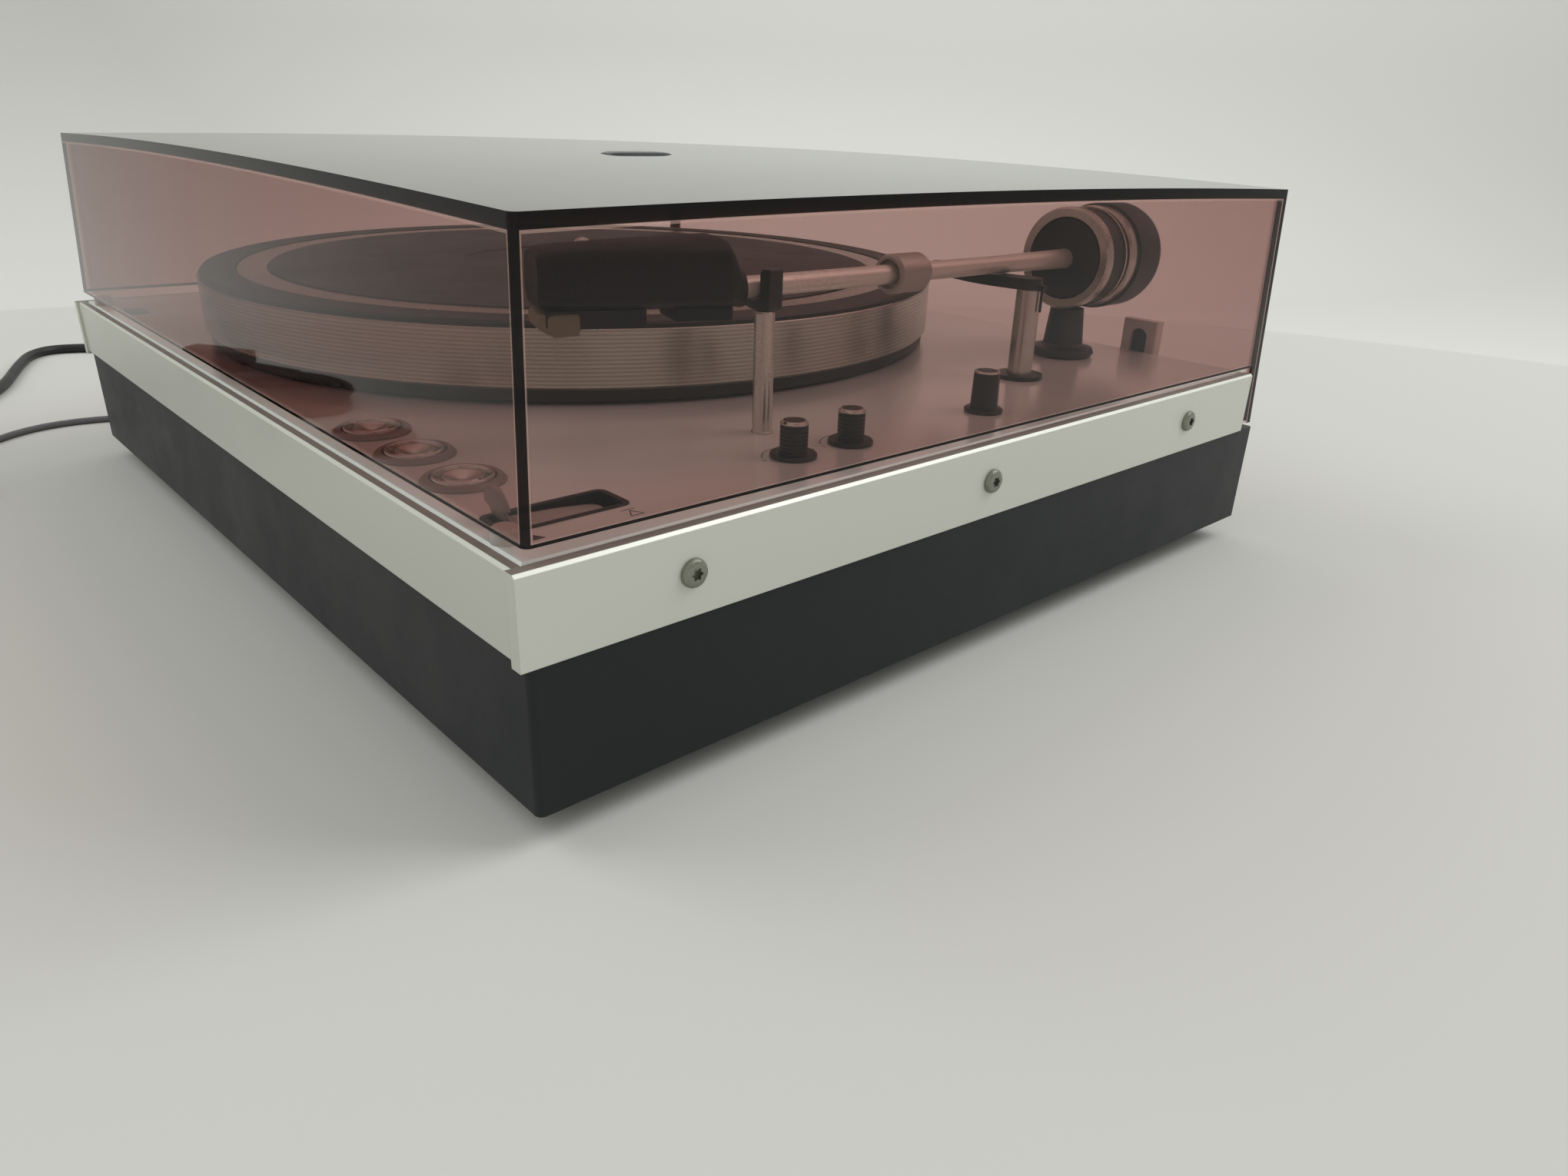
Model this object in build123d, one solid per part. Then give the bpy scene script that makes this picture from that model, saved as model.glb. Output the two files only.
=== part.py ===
from build123d import *
import math
import os

# A belt-drive turntable with a drafted clear lid. Millimetres, X to the right, Y to the back, Z up.
# The origin is on the floor under the middle of the plan, without the cords.

# Overall sizes: the plan holds the platter, narrow margins round it and the arm's bay at its right
PLATTER_R = 150.0
LEFT_MARGIN = 10.5
FRONT_MARGIN = 15.4
BACK_MARGIN = 21.1
ARM_BAY = 81.1
WIDTH = LEFT_MARGIN + 2 * PLATTER_R + ARM_BAY
DEPTH = FRONT_MARGIN + 2 * PLATTER_R + BACK_MARGIN
FOOT_HEIGHT = 9.0
CUT = 1.0
SEAT_GAP = 0.3
RUN_GAP = 0.05
EDGE = 0.8

# Plinth: a wide lower block with a shelf behind, and a narrower frame that carries the deck
PLINTH_INSET = 0.8
PLINTH_WIDTH = WIDTH - 2 * PLINTH_INSET
PLINTH_FRONT = 2.3
PLINTH_CORNER = 2.0
LOWER_HEIGHT = 38.5
WALL = 9.0
FRAME_WALL = 6.0
SHELF_DEPTH = 11.9
FRAME_BACK = DEPTH - SHELF_DEPTH
FRAME_HEIGHT = 21.5
POST_R = 6.0
COVER = 3.0
VENT_LENGTH = 60.0
VENT_WIDTH = 3.0
VENT_PITCH = 8.0
VENT_COUNT = 7
SHELF_Z = FOOT_HEIGHT + LOWER_HEIGHT
DECK_SEAT = SHELF_Z + FRAME_HEIGHT

# Trim strips round the front and sides
STRIP_THICK = 3.8
FRONT_STRIP_THICK = 3.0
FRONT_STRIP_SETBACK = 0.8
SIDE_STRIP_LOW = 0.4
FRONT_STRIP_LOW = 1.6
STRIP_TOP_DROP = 0.2
STRIP_SCREW_FRONT = 46.4
STRIP_SCREW_BACK = 47.1
STRIP_SCREW_SHIFT = 2.0
STRIP_SCREWS_Y = (STRIP_SCREW_FRONT, FRAME_BACK / 2 - STRIP_SCREW_SHIFT, FRAME_BACK - STRIP_SCREW_BACK)
SCREW_HEAD_R = 3.75
SCREW_HEAD_H = 1.7
SCREW_R = 1.8
SCREW_LENGTH = 7.5
SMALL_HEAD_R = 3.0
SMALL_HEAD_H = 1.5

# Feet
FOOT_TOP_R = 16.0
FOOT_BOTTOM_R = 13.5
FOOT_RECESS_R = 6.0
FOOT_RECESS = 4.0
FOOT_INSET_X = 36.0
FOOT_INSET_Y = 38.0

# Deck plate
DECK = 2.0
DECK_Z = DECK_SEAT + DECK
DECK_SIDE_GAP = 0.4
DECK_BORE_GAP = 3.0

# Platter, mats, sub-platter and spindle
PLATTER_X = LEFT_MARGIN + PLATTER_R - WIDTH / 2
PLATTER_FROM_FRONT = FRONT_MARGIN + PLATTER_R
RIM_LOW = 5.2
RIM_HEIGHT = 19.3
RIM_THICK = 6.0
PLATTER_WEB = 4.0
MAT = 2.0
MAT_INSET = 1.0
MAT_RING_WIDTH = 12.5
MAT_BARE_WIDTH = 12.0
MAT_R = PLATTER_R - MAT_INSET
MAT_RING_IN_R = MAT_R - MAT_RING_WIDTH
MAT_DISC_R = MAT_RING_IN_R - MAT_BARE_WIDTH
MAT_LABEL_R = 50.0
MAT_LABEL_SINK = 0.6
MAT_BORE_GAP = 0.6
SPINDLE_R = 3.55
SHAFT_R = 4.0
SPINDLE_RISE = 9.0
SPINDLE_NOSE = 2.0
SPINDLE_NOSE_SHARE = 0.8
SUB_SHARE = 0.48
SUB_R = SUB_SHARE * PLATTER_R
SUB_RIM = 4.0
SUB_RIM_HEIGHT = 14.5
SUB_WEB = 3.5
SUB_HUB_R = 11.0
SUB_HUB_HEIGHT = 16.0
SUB_RIBS = 6
SUB_RIB = 2.0
PLATTER_TOP = DECK_Z + RIM_LOW + RIM_HEIGHT
WEB_BOTTOM = PLATTER_TOP - PLATTER_WEB
MAT_TOP = PLATTER_TOP + MAT

# Chassis plate under the deck and the spindle bearing on it
CHASSIS = 2.5
CHASSIS_DROP = 9.0
CHASSIS_ARM_WIDTH = 50.0
CHASSIS_Z = DECK_SEAT - CHASSIS_DROP
SPACER_R = 4.0
BEARING_R = 9.0
BEARING_TOP = 2.5
BEARING_DEEP = 36.0
BEARING_FLANGE_R = 22.0
BEARING_FLANGE = 4.0
BEARING_FLOOR = 2.5
BEARING_SCREW_CIRCLE = 16.0
BEARING_SCREW_ANGLES = (90, 210, 330)

# Motor, pulley and belt
MOTOR_SHARE = 0.7
MOTOR_DISTANCE = MOTOR_SHARE * PLATTER_R
MOTOR_ANGLE = 135.0
MOTOR_R = 20.0
MOTOR_HEIGHT = 21.0
MOTOR_SHAFT_R = 1.2
MOTOR_EAR_CIRCLE = 25.0
MOTOR_EAR_ANGLES = (30, 150, 270)
MOTOR_EAR_R = 5.0
MOTOR_EAR = 1.2
BUSH_R = 4.5
BUSH = 2.0
PULLEY_R = 6.5
PULLEY_FLANGE_R = 8.0
PULLEY_FLANGE = 1.2
PULLEY_HEIGHT = 12.0
PULLEY_HOLE_GAP = 2.0
BELT = 0.8
BELT_WIDTH = 5.0
BELT_GAP = 0.3
BELT_RISE = 8.0

# Tonearm: pivot, slope and tube
PIVOT_INSET = 65.8
PIVOT_FROM_BACK = 46.7
PIVOT_X = WIDTH / 2 - PIVOT_INSET
PIVOT_FROM_FRONT = DEPTH - PIVOT_FROM_BACK
PIVOT_HEIGHT = 38.6
FORWARD_ANGLE = -90.0
ARM_SWING = 3.55
ARM_SLOPE = 1.09
TUBE_R = 3.1
TUBE_REAR_R = 3.7
TUBE_TAPER_FROM = 60.0
TUBE_WALL = 0.6
TUBE_OVER = 40.0
TUBE_LENGTH = PLATTER_R + TUBE_OVER
STUB_R = 4.5
STUB_END = 28.0
PIVOT_Z = DECK_Z + PIVOT_HEIGHT

# Arm pillar and bearing housing
NECK_R = 4.25
NECK_RISE = 0.6
PILLAR_FLANGE_R = 12.75
PILLAR_FLANGE = 3.8
PILLAR_LOW_R = 7.95
PILLAR_TOP_R = 6.65
PILLAR_FOOT_R = 12.0
PILLAR_FOOT = 3.0
HOUSING_R = 18.6
HOUSING_BORE_R = 15.6
HOUSING_BACK = 5.7
RING_R = 19.3
RING_DEPTH = 4.0
RING_FRONT = 8.0
RING_BACK = 1.0
DISC_R = 14.9
DISC = 1.3
DISC_SINK = 0.3
YAW_PIN_R = 2.0
YAW_BOSS_R = 3.8
YAW_BOSS_HEIGHT = 4.0
AXLE_R = 1.25
AXLE_REACH = 1.5
HUB_R = 6.5
HUB_LENGTH = 5.0

# Weights on the arm
FORCE_WEIGHT_R = 6.35
FORCE_WEIGHT_LENGTH = 17.0
FORCE_WEIGHT_AT = 109.7
FORCE_WEIGHT_RECESS_R = 4.7
FORCE_WEIGHT_RECESS = 2.5
FORCE_WEIGHT_ROUND = 2.2
WEIGHT_R = 20.6
WEIGHT_FROM = 15.0
WEIGHT_LENGTH = 21.5
WEIGHT_ROUND = 5.0
ROUND_SHARE = 0.134
WEIGHT_EDGE = 1.0
WEIGHT_RING_R = 19.6
WEIGHT_RING_LENGTH = 5.3

# Headshell, cartridge and stylus, in the tube's own line and turned inwards
OFFSET_ANGLE = 22.0
SHELL_LENGTH = 54.0
SHELL_WIDTH = 19.0
SHELL_NOSE_WIDTH = 16.0
SHELL_TOP = 7.3
SHELL_LOW = 4.0
SHELL_WALL = 2.0
SHELL_ROUND = 3.0
COLLAR_R = 4.6
COLLAR_LENGTH = 9.0
CARTRIDGE_LENGTH = SHELL_LENGTH / 2
CARTRIDGE_WIDTH = 14.5
CARTRIDGE_FROM_NOSE = 1.5
CARTRIDGE_LOW = 8.8
PLUG_BLOCK_GAP = 9.5
PLUG_BLOCK_LENGTH = SHELL_LENGTH - CARTRIDGE_LENGTH - PLUG_BLOCK_GAP
PLUG_BLOCK_LOW = 7.7
GUARD_LENGTH = 13.0
GUARD_WIDTH = 12.0
GUARD_LOW = 10.0
GUARD_NOSE = 4.0
STYLUS_FROM_NOSE = 17.0
STYLUS_R = 0.4
STYLUS_LOW = 11.4

# Arm rest and cueing lift
REST_FROM_TIP = 11.5
REST_ASIDE = 4.526
REST_FORWARD = TUBE_LENGTH - REST_FROM_TIP
REST_X = PIVOT_X + REST_FORWARD * math.tan(math.radians(ARM_SWING)) + REST_ASIDE
REST_FROM_FRONT = PIVOT_FROM_FRONT - REST_FORWARD
REST_R = 4.3
CLIP_LENGTH = 8.0
CLIP_WALL = 9.0
CLIP_RISE = 6.0
CLIP_CRADLE = 2.8
CLIP_REACH = 4.0
LIFT_ASIDE = 15.4
LIFT_FORWARD = 50.1
LIFT_X = PIVOT_X + LIFT_ASIDE
LIFT_FROM_FRONT = PIVOT_FROM_FRONT - LIFT_FORWARD
LIFT_R = 4.5
LIFT_BELOW = 8.0
LIFT_BUSH_R = 8.6
LIFT_BUSH = 1.5
LIFT_BUSH_WALL = 1.5
WING = 4.0
WING_HALF = 4.0
WING_TIP = 40.0
GUIDE_PIN_R = 0.5
GUIDE_PIN = 7.5
GUIDE_PIN_ASIDE = 5.6
CRADLE_GAP = 0.3

# Cue lever at the front right corner, in its black tray
TRAY_INSET = 27.9
TRAY_X = WIDTH / 2 - TRAY_INSET
TRAY_FRONT = 9.8
TRAY_LENGTH = 34.5
TRAY_WIDTH = 13.9
TRAY_WALL = 1.5
TRAY_DEPTH = 7.5
TRAY_LIP = 0.25
TRAY_CORNER = 2.5
LEVER_WIDTH = 8.0
LEVER = 1.8
LEVER_EYE_R = 2.0
LEVER_AXLE_R = 1.0
LEVER_AXLE_DROP = 3.4
PADDLE_WIDTH = 12.0
PADDLE_HEIGHT = 9.5
PADDLE_AT = 28.0
PADDLE_BEND_R = 6.0

# Touch buttons
BUTTON_INSETS = (116.8, 88.9, 61.1)
BUTTON_X = tuple(WIDTH / 2 - inset for inset in BUTTON_INSETS)
BUTTON_FROM_FRONT = 20.2
BUTTON_R = 8.1
BUTTON_RISE = 2.0
BUTTON_LIP = 0.9
BUTTON_DISH = 1.6
BUTTON_SINK = 1.2
BUTTON_STEM_R = 3.0
BUTTON_TRAVEL = 0.8
GAITER_IN_R = 8.5
GAITER_R = 10.85
GAITER_HEIGHT = 1.3
GAITER_ROUND = 0.9

# Knobs: two fine speed controls and the anti-skating control
KNOB_INSET = 26.4
KNOB_X = WIDTH / 2 - KNOB_INSET
PITCH_KNOB_BEFORE_REST = 9.1
PITCH_KNOB_SPACING = 22.8
SKATE_KNOB_BEFORE_PIVOT = 102.2
PITCH_KNOB_FROM_FRONT = REST_FROM_FRONT - PITCH_KNOB_BEFORE_REST
PITCH_KNOBS_FROM_FRONT = (PITCH_KNOB_FROM_FRONT, PITCH_KNOB_FROM_FRONT + PITCH_KNOB_SPACING)
SKATE_KNOB_FROM_FRONT = PIVOT_FROM_FRONT - SKATE_KNOB_BEFORE_PIVOT
KNOB_FLANGE_R = 6.7
KNOB_FLANGE = 1.0
KNOB_R = 4.0
KNOB_HEIGHT = 10.2
KNOB_CHAMFER = 0.7
KNOB_RIBS = 7
KNOB_RIB_DEPTH = 0.3
KNOB_SHAFT_R = 3.0
SKATE_FLANGE_R = 6.35
SKATE_R = 4.5
SKATE_HEIGHT = 13.2
SKATE_DRAFT = 0.3

# Boards, switches and transformer inside
BOARD = 1.6
BOARD_DROP = 11.4
BOARD_INSETS = (133.8, 40.8)
BOARD_X = tuple(WIDTH / 2 - inset for inset in BOARD_INSETS)
BOARD_Y = (10.5, 42.0)
BOARD_MARGIN = 4.0
SWITCH = 12.0
SWITCH_TOP_GAP = 0.3
POT_BOARD_MARGIN = 8.0
POT_R = 6.0
BOARD_SPACER_R = 2.5
CORE_INSET = 45.0
CORE_X = CORE_INSET - PLINTH_WIDTH / 2
CORE_FROM_FRONT = 55.0
CORE_WIDTH = 50.0
CORE_DEPTH = 22.0
CORE_HEIGHT = 35.0
BOBBIN_WIDTH = 30.0
BOBBIN_DEPTH = 40.0
BOBBIN_HEIGHT = 26.0

# Lid: drafted sides, an upright back that drops behind the deck, and a crowned top
LID_WALL = 3.0
LID_TOP = 4.0
LID_FRONT_LOW = 2.4
LID_FRONT_HIGH = 7.4
LID_BACK_INSET = 2.2
LID_LOW_INSET = 0.6
LID_HIGH_INSET = 5.3
LID_BACK = DEPTH - LID_BACK_INSET
LID_HALF_LOW = WIDTH / 2 - LID_LOW_INSET
LID_HALF_HIGH = WIDTH / 2 - LID_HIGH_INSET
LID_CORNER = 2.0
SKIRT_Z = 50.0
LID_RISE = 1.9
LID_EDGE_Z = 138.6
LID_CROWN = 4.2
LID_CROWN_R = 7400.0
LID_TILT = 0.35
SKIRT_DEPTH = 10.1
SKIRT_FRONT = DEPTH - SKIRT_DEPTH
BUFFER_R = 3.5
BUFFER_INSET = 17.8
BUFFER_X = WIDTH / 2 - BUFFER_INSET
BUFFER_FROM_FRONT = 8.2

# Lid hinges: block and pin on the shelf, black arm, bright socket on the lid's back wall
HINGE_INSET = 52.8
HINGE_FROM_BACK = 5.5
HINGE_X = WIDTH / 2 - HINGE_INSET
HINGE_FROM_FRONT = DEPTH - HINGE_FROM_BACK
HINGE_RISE = 6.0
HINGE_EYE_R = 4.0
HINGE_PIN_R = 2.0
HINGE_ARM_WIDTH = 7.0
HINGE_ARM = 2.2
HINGE_ARM_TOP = 81.0
EAR = 3.0
EAR_GAP = 0.3
BLOCK_BASE = 1.6
NOTCH_GAP = 1.4
NOTCH_Z = 60.5
SOCKET_WIDTH = 16.0
SOCKET_LOW = 69.0
SOCKET_HEIGHT = 14.5
SOCKET_WALL = 1.0
WINDOW_WIDTH = 7.6
SOCKET_SLOT_HEIGHT = 11.0

# Cords: a round black mains cord and a thin grey signal lead, both out of the back
MAINS_R = 2.75
MAINS_INSET = 91.8
MAINS_X = MAINS_INSET - WIDTH / 2
SIGNAL_R = 1.55
SIGNAL_INSET = 55.8
SIGNAL_X = SIGNAL_INSET - WIDTH / 2
CORD_EXIT_Z = 24.0
RUN_SHARE = 0.45
GLAND_NECK_R = 5.0
GLAND_FLANGE_R = 8.0
GLAND_FLANGE = 2.5
GLAND_SLEEVE = 20.0
GLAND_INSIDE = 3.0
COIL_TURNS = 2
COIL_PITCH_SHARE = 1.36
COIL_MEAN_SHARE = 5.6
COIL_STEP = 0.001
COIL_SAMPLES = 400
TIE_THICK = 0.8
TIE_WIDTH = 4.0
TIE_TURN = 0.75
TIE_LIFT = TIE_THICK + SEAT_GAP
MAINS_SIDE = -1
SIGNAL_SIDE = 1
MAINS_SLEEVE = 32.0
SIGNAL_SLEEVE = 20.0
SIGNAL_JOINT = 6.0
MAINS_PLUG_LENGTH = 34.0
MAINS_PLUG_WIDTH = 28.0
PLUG_PIN_R = 2.0
PLUG_PIN_LENGTH = 18.0
PLUG_PIN_PITCH = 18.6
SIGNAL_PLUG_LENGTH = 24.0
SIGNAL_PIN_R = 1.6
SIGNAL_PIN_LENGTH = 9.0
SIGNAL_CUP_LENGTH = 6.0

# Routes to the coil, lying on the floor, each as steps from its gland's end
CORD_EXIT_Y = DEPTH / 2 + GLAND_FLANGE + GLAND_SLEEVE
MAINS_STEPS = [(0.0, 0.0, CORD_EXIT_Z), (0.0, 33.25, CORD_EXIT_Z), (-2.0, 81.25, MAINS_R),
               (-24.0, 127.25, MAINS_R), (-70.0, 161.25, MAINS_R), (-128.0, 171.25, MAINS_R),
               (-186.0, 155.25, MAINS_R), (-236.0, 117.25, MAINS_R), (-276.0, 65.25, MAINS_R),
               (-304.0, 3.25, MAINS_R), (-316.0, -64.75, MAINS_R), (-318.0, -134.75, MAINS_R),
               (-304.0, -192.75, MAINS_R), (-304.0, -250.75, MAINS_R), (-325.0, -296.75, MAINS_R),
               (-345.0, -329.25, MAINS_R), (-338.2, -347.55, MAINS_R), (-303.0, -360.75, MAINS_R),
               (-241.0, -378.75, MAINS_R), (-196.0, -409.75, MAINS_R + TIE_LIFT),
               (-162.0, -449.75, MAINS_R + TIE_LIFT)]
SIGNAL_STEPS = [(0.0, 0.0, CORD_EXIT_Z), (0.0, 22.25, CORD_EXIT_Z), (-6.0, 59.25, SIGNAL_R),
                (-30.0, 85.25, SIGNAL_R), (-72.0, 89.25, SIGNAL_R), (-104.0, 59.25, SIGNAL_R),
                (-118.0, 13.25, SIGNAL_R), (-114.0, -40.75, SIGNAL_R), (-106.0, -94.75, SIGNAL_R),
                (-108.0, -150.75, SIGNAL_R), (-100.0, -206.75, SIGNAL_R), (-106.0, -262.75, SIGNAL_R),
                (-107.0, -320.75, SIGNAL_R), (-123.0, -372.75, SIGNAL_R), (-90.9, -411.05, SIGNAL_R),
                (-72.0, -448.75, SIGNAL_R + TIE_LIFT), (-66.0, -486.75, SIGNAL_R + TIE_LIFT)]
MAINS_POINTS = [(MAINS_X + x, CORD_EXIT_Y + y, z) for x, y, z in MAINS_STEPS]
SIGNAL_POINTS = [(SIGNAL_X + x, CORD_EXIT_Y + y, z) for x, y, z in SIGNAL_STEPS]

BOTTOM = (Align.CENTER, Align.CENTER, Align.MIN)
PARTS = {}


def from_front(distance):
    """Y of a place measured from the front face."""
    return distance - DEPTH / 2


def block(x0, x1, y0, y1, z0, z1):
    return Pos((x0 + x1) / 2, (y0 + y1) / 2, (z0 + z1) / 2) * Box(x1 - x0, y1 - y0, z1 - z0)


def rounded_block(x0, x1, y0, y1, z0, z1, radius):
    plan = Pos((x0 + x1) / 2, (y0 + y1) / 2, z0) * RectangleRounded(x1 - x0, y1 - y0, radius)
    return extrude(plan, z1 - z0)


def rod(x, y, z0, z1, radius):
    return Pos(x, y, z0) * Cylinder(radius, z1 - z0, align=BOTTOM)


def tube(x, y, z0, z1, outer, inner):
    return rod(x, y, z0, z1, outer) - rod(x, y, z0 - CUT, z1 + CUT, inner)


def turned(points, x=0.0, y=0.0):
    """A solid of revolution about the upright line at x, y, from (radius, height) points."""
    outline = [(radius, 0.0, height) for radius, height in points]
    face = make_face(Polyline(*outline, close=True))
    return Pos(x, y, 0.0) * revolve(face, Axis.Z)


def along_arm(shape):
    """Lay a shape whose +Z is the forward line of the arm onto the arm at rest."""
    heading = Rot(0.0, 0.0, ARM_SWING) * Rot(-ARM_SLOPE, 0.0, 0.0)
    return Pos(PIVOT_X, from_front(PIVOT_FROM_FRONT), PIVOT_Z) * heading * Rot(90.0, 0.0, 0.0) * shape


def arm_point(forward, side=0.0, up=0.0):
    """Place on the resting arm: forward from the pivot, to its right and up from its line."""
    heading = Rot(0.0, 0.0, ARM_SWING) * Rot(-ARM_SLOPE, 0.0, 0.0)
    place = Pos(PIVOT_X, from_front(PIVOT_FROM_FRONT), PIVOT_Z) * heading * Pos(side, -forward, up)
    return place.position


def lid_pose(shape):
    """Raise the front of the lid a little, about the hinge line, as it stands on its buffers."""
    hinge_line = Axis((0.0, from_front(HINGE_FROM_FRONT), SHELF_Z + HINGE_RISE), (1.0, 0.0, 0.0))
    return shape.rotate(hinge_line, -LID_TILT)


def screw(head_r, head_h, shank_r, length):
    """A domed screw that points down from its seat at the origin."""
    dome_share = 0.55
    points = [(0.0, -length), (shank_r, -length), (shank_r, 0.0), (head_r, 0.0),
              (head_r * (1 - dome_share / 4), head_h * dome_share), (head_r * dome_share, head_h),
              (0.0, head_h)]
    return turned(points)


def make_plinth():
    half = PLINTH_WIDTH / 2
    lower = rounded_block(-half, half, from_front(PLINTH_FRONT), from_front(DEPTH), FOOT_HEIGHT, SHELF_Z,
                          PLINTH_CORNER)
    side = WIDTH / 2 - STRIP_THICK
    front = FRONT_STRIP_SETBACK + FRONT_STRIP_THICK
    frame = block(-side, side, from_front(front), from_front(FRAME_BACK), SHELF_Z - CUT, DECK_SEAT)
    room_low = block(-half + WALL, half - WALL, from_front(PLINTH_FRONT + WALL), from_front(DEPTH - WALL),
                     FOOT_HEIGHT - CUT, SHELF_Z - WALL)
    room_high = block(-side + FRAME_WALL, side - FRAME_WALL, from_front(front + FRAME_WALL),
                      from_front(FRAME_BACK - FRAME_WALL), SHELF_Z - WALL - CUT, DECK_SEAT + CUT)
    plinth = lower + frame - room_low - room_high
    for x, y in post_places():
        plinth += rod(x, y, FOOT_HEIGHT + COVER, DECK_SEAT, POST_R)
        plinth -= rod(x, y, FOOT_HEIGHT, FOOT_HEIGHT + COVER + SCREW_LENGTH, SCREW_R)
    for sign in (-1, 1):
        for y in STRIP_SCREWS_Y:
            hole = Pos(sign * side, from_front(y), strip_middle()) * Rot(0.0, 90.0, 0.0)
            plinth -= hole * Cylinder(SCREW_R, 2 * WALL)
    for x in (MAINS_X, SIGNAL_X):
        hole = Pos(x, from_front(DEPTH - WALL / 2), CORD_EXIT_Z) * Rot(90.0, 0.0, 0.0)
        plinth -= hole * Cylinder(GLAND_NECK_R, 2 * WALL)
    return plinth


def post_places():
    inset = FRAME_WALL + POST_R - EDGE
    x = WIDTH / 2 - STRIP_THICK - inset
    front = FRONT_STRIP_SETBACK + FRONT_STRIP_THICK + inset
    return [(sx * x, from_front(y)) for sx in (-1, 1) for y in (front, FRAME_BACK - inset)]


def foot_places():
    half = PLINTH_WIDTH / 2
    return [(sx * (half - FOOT_INSET_X), from_front(y)) for sx in (-1, 1)
            for y in (FOOT_INSET_Y, DEPTH - FOOT_INSET_Y)]


def strip_middle():
    return (SHELF_Z + SIDE_STRIP_LOW + DECK_Z - STRIP_TOP_DROP) / 2


def make_bottom_cover():
    half = PLINTH_WIDTH / 2 - WALL - SEAT_GAP
    front = from_front(PLINTH_FRONT + WALL + SEAT_GAP)
    back = from_front(DEPTH - WALL - SEAT_GAP)
    cover = block(-half, half, front, back, FOOT_HEIGHT, FOOT_HEIGHT + COVER)
    for x, y in post_places() + foot_places():
        cover -= rod(x, y, FOOT_HEIGHT - CUT, FOOT_HEIGHT + COVER + CUT, SCREW_R)
    slot = SlotOverall(VENT_LENGTH, VENT_WIDTH)
    for index in range(VENT_COUNT):
        y = from_front(CORE_FROM_FRONT) + (index - (VENT_COUNT - 1) / 2) * VENT_PITCH
        cover -= extrude(Pos(CORE_X / 4, y, FOOT_HEIGHT - CUT) * slot, COVER + 2 * CUT)
    return cover


def make_foot(x, y):
    rim = FOOT_HEIGHT / 6
    points = [(SCREW_R, FOOT_HEIGHT), (FOOT_TOP_R, FOOT_HEIGHT), (FOOT_TOP_R, FOOT_HEIGHT - rim),
              (FOOT_BOTTOM_R, rim), (FOOT_BOTTOM_R - rim, 0.0), (FOOT_RECESS_R, 0.0),
              (FOOT_RECESS_R, FOOT_RECESS), (SCREW_R, FOOT_RECESS)]
    return turned(points, x, y)


def make_bottom_screws():
    low = screw(SMALL_HEAD_R, SMALL_HEAD_H, SCREW_R, SCREW_LENGTH)
    screws = [Pos(x, y, FOOT_HEIGHT) * Rot(180.0, 0.0, 0.0) * low for x, y in post_places()]
    screws += [Pos(x, y, FOOT_RECESS) * Rot(180.0, 0.0, 0.0) * low for x, y in foot_places()]
    return Compound(screws)


def make_side_strip(sign):
    inner = WIDTH / 2 - STRIP_THICK
    strip = block(inner, WIDTH / 2, from_front(0.0), from_front(FRAME_BACK),
                  SHELF_Z + SIDE_STRIP_LOW, DECK_Z - STRIP_TOP_DROP)
    outer_top = strip.edges().filter_by(Axis.Y).sort_by(Axis.Z)[-2:].sort_by(Axis.X)[-1]
    strip = chamfer(outer_top, EDGE)
    for y in STRIP_SCREWS_Y:
        hole = Pos(inner, from_front(y), strip_middle()) * Rot(0.0, 90.0, 0.0)
        strip -= hole * Cylinder(SCREW_R, 4 * STRIP_THICK)
    return strip if sign > 0 else mirror(strip, Plane.YZ)


def make_strip_screws():
    low = screw(SCREW_HEAD_R, SCREW_HEAD_H, SCREW_R, SCREW_LENGTH)
    screws = []
    for sign in (-1, 1):
        for y in STRIP_SCREWS_Y:
            seat = Pos(sign * WIDTH / 2, from_front(y), strip_middle()) * Rot(0.0, sign * 90.0, 0.0)
            screws.append(seat * low)
    return Compound(screws)


def make_front_strip():
    half = WIDTH / 2 - STRIP_THICK
    front = from_front(FRONT_STRIP_SETBACK)
    strip = block(-half, half, front, front + FRONT_STRIP_THICK, SHELF_Z + FRONT_STRIP_LOW,
                  DECK_Z - STRIP_TOP_DROP)
    outer_top = strip.edges().filter_by(Axis.X).sort_by(Axis.Z)[-2:].sort_by(Axis.Y)[0]
    return chamfer(outer_top, EDGE)


def motor_place():
    angle = math.radians(MOTOR_ANGLE)
    return (PLATTER_X + MOTOR_DISTANCE * math.cos(angle),
            from_front(PLATTER_FROM_FRONT) + MOTOR_DISTANCE * math.sin(angle))


def tray_plan(width, length, radius):
    place = Pos(TRAY_X, from_front(TRAY_FRONT + TRAY_LENGTH / 2), 0.0)
    return place * RectangleRounded(width, length, radius)


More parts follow.
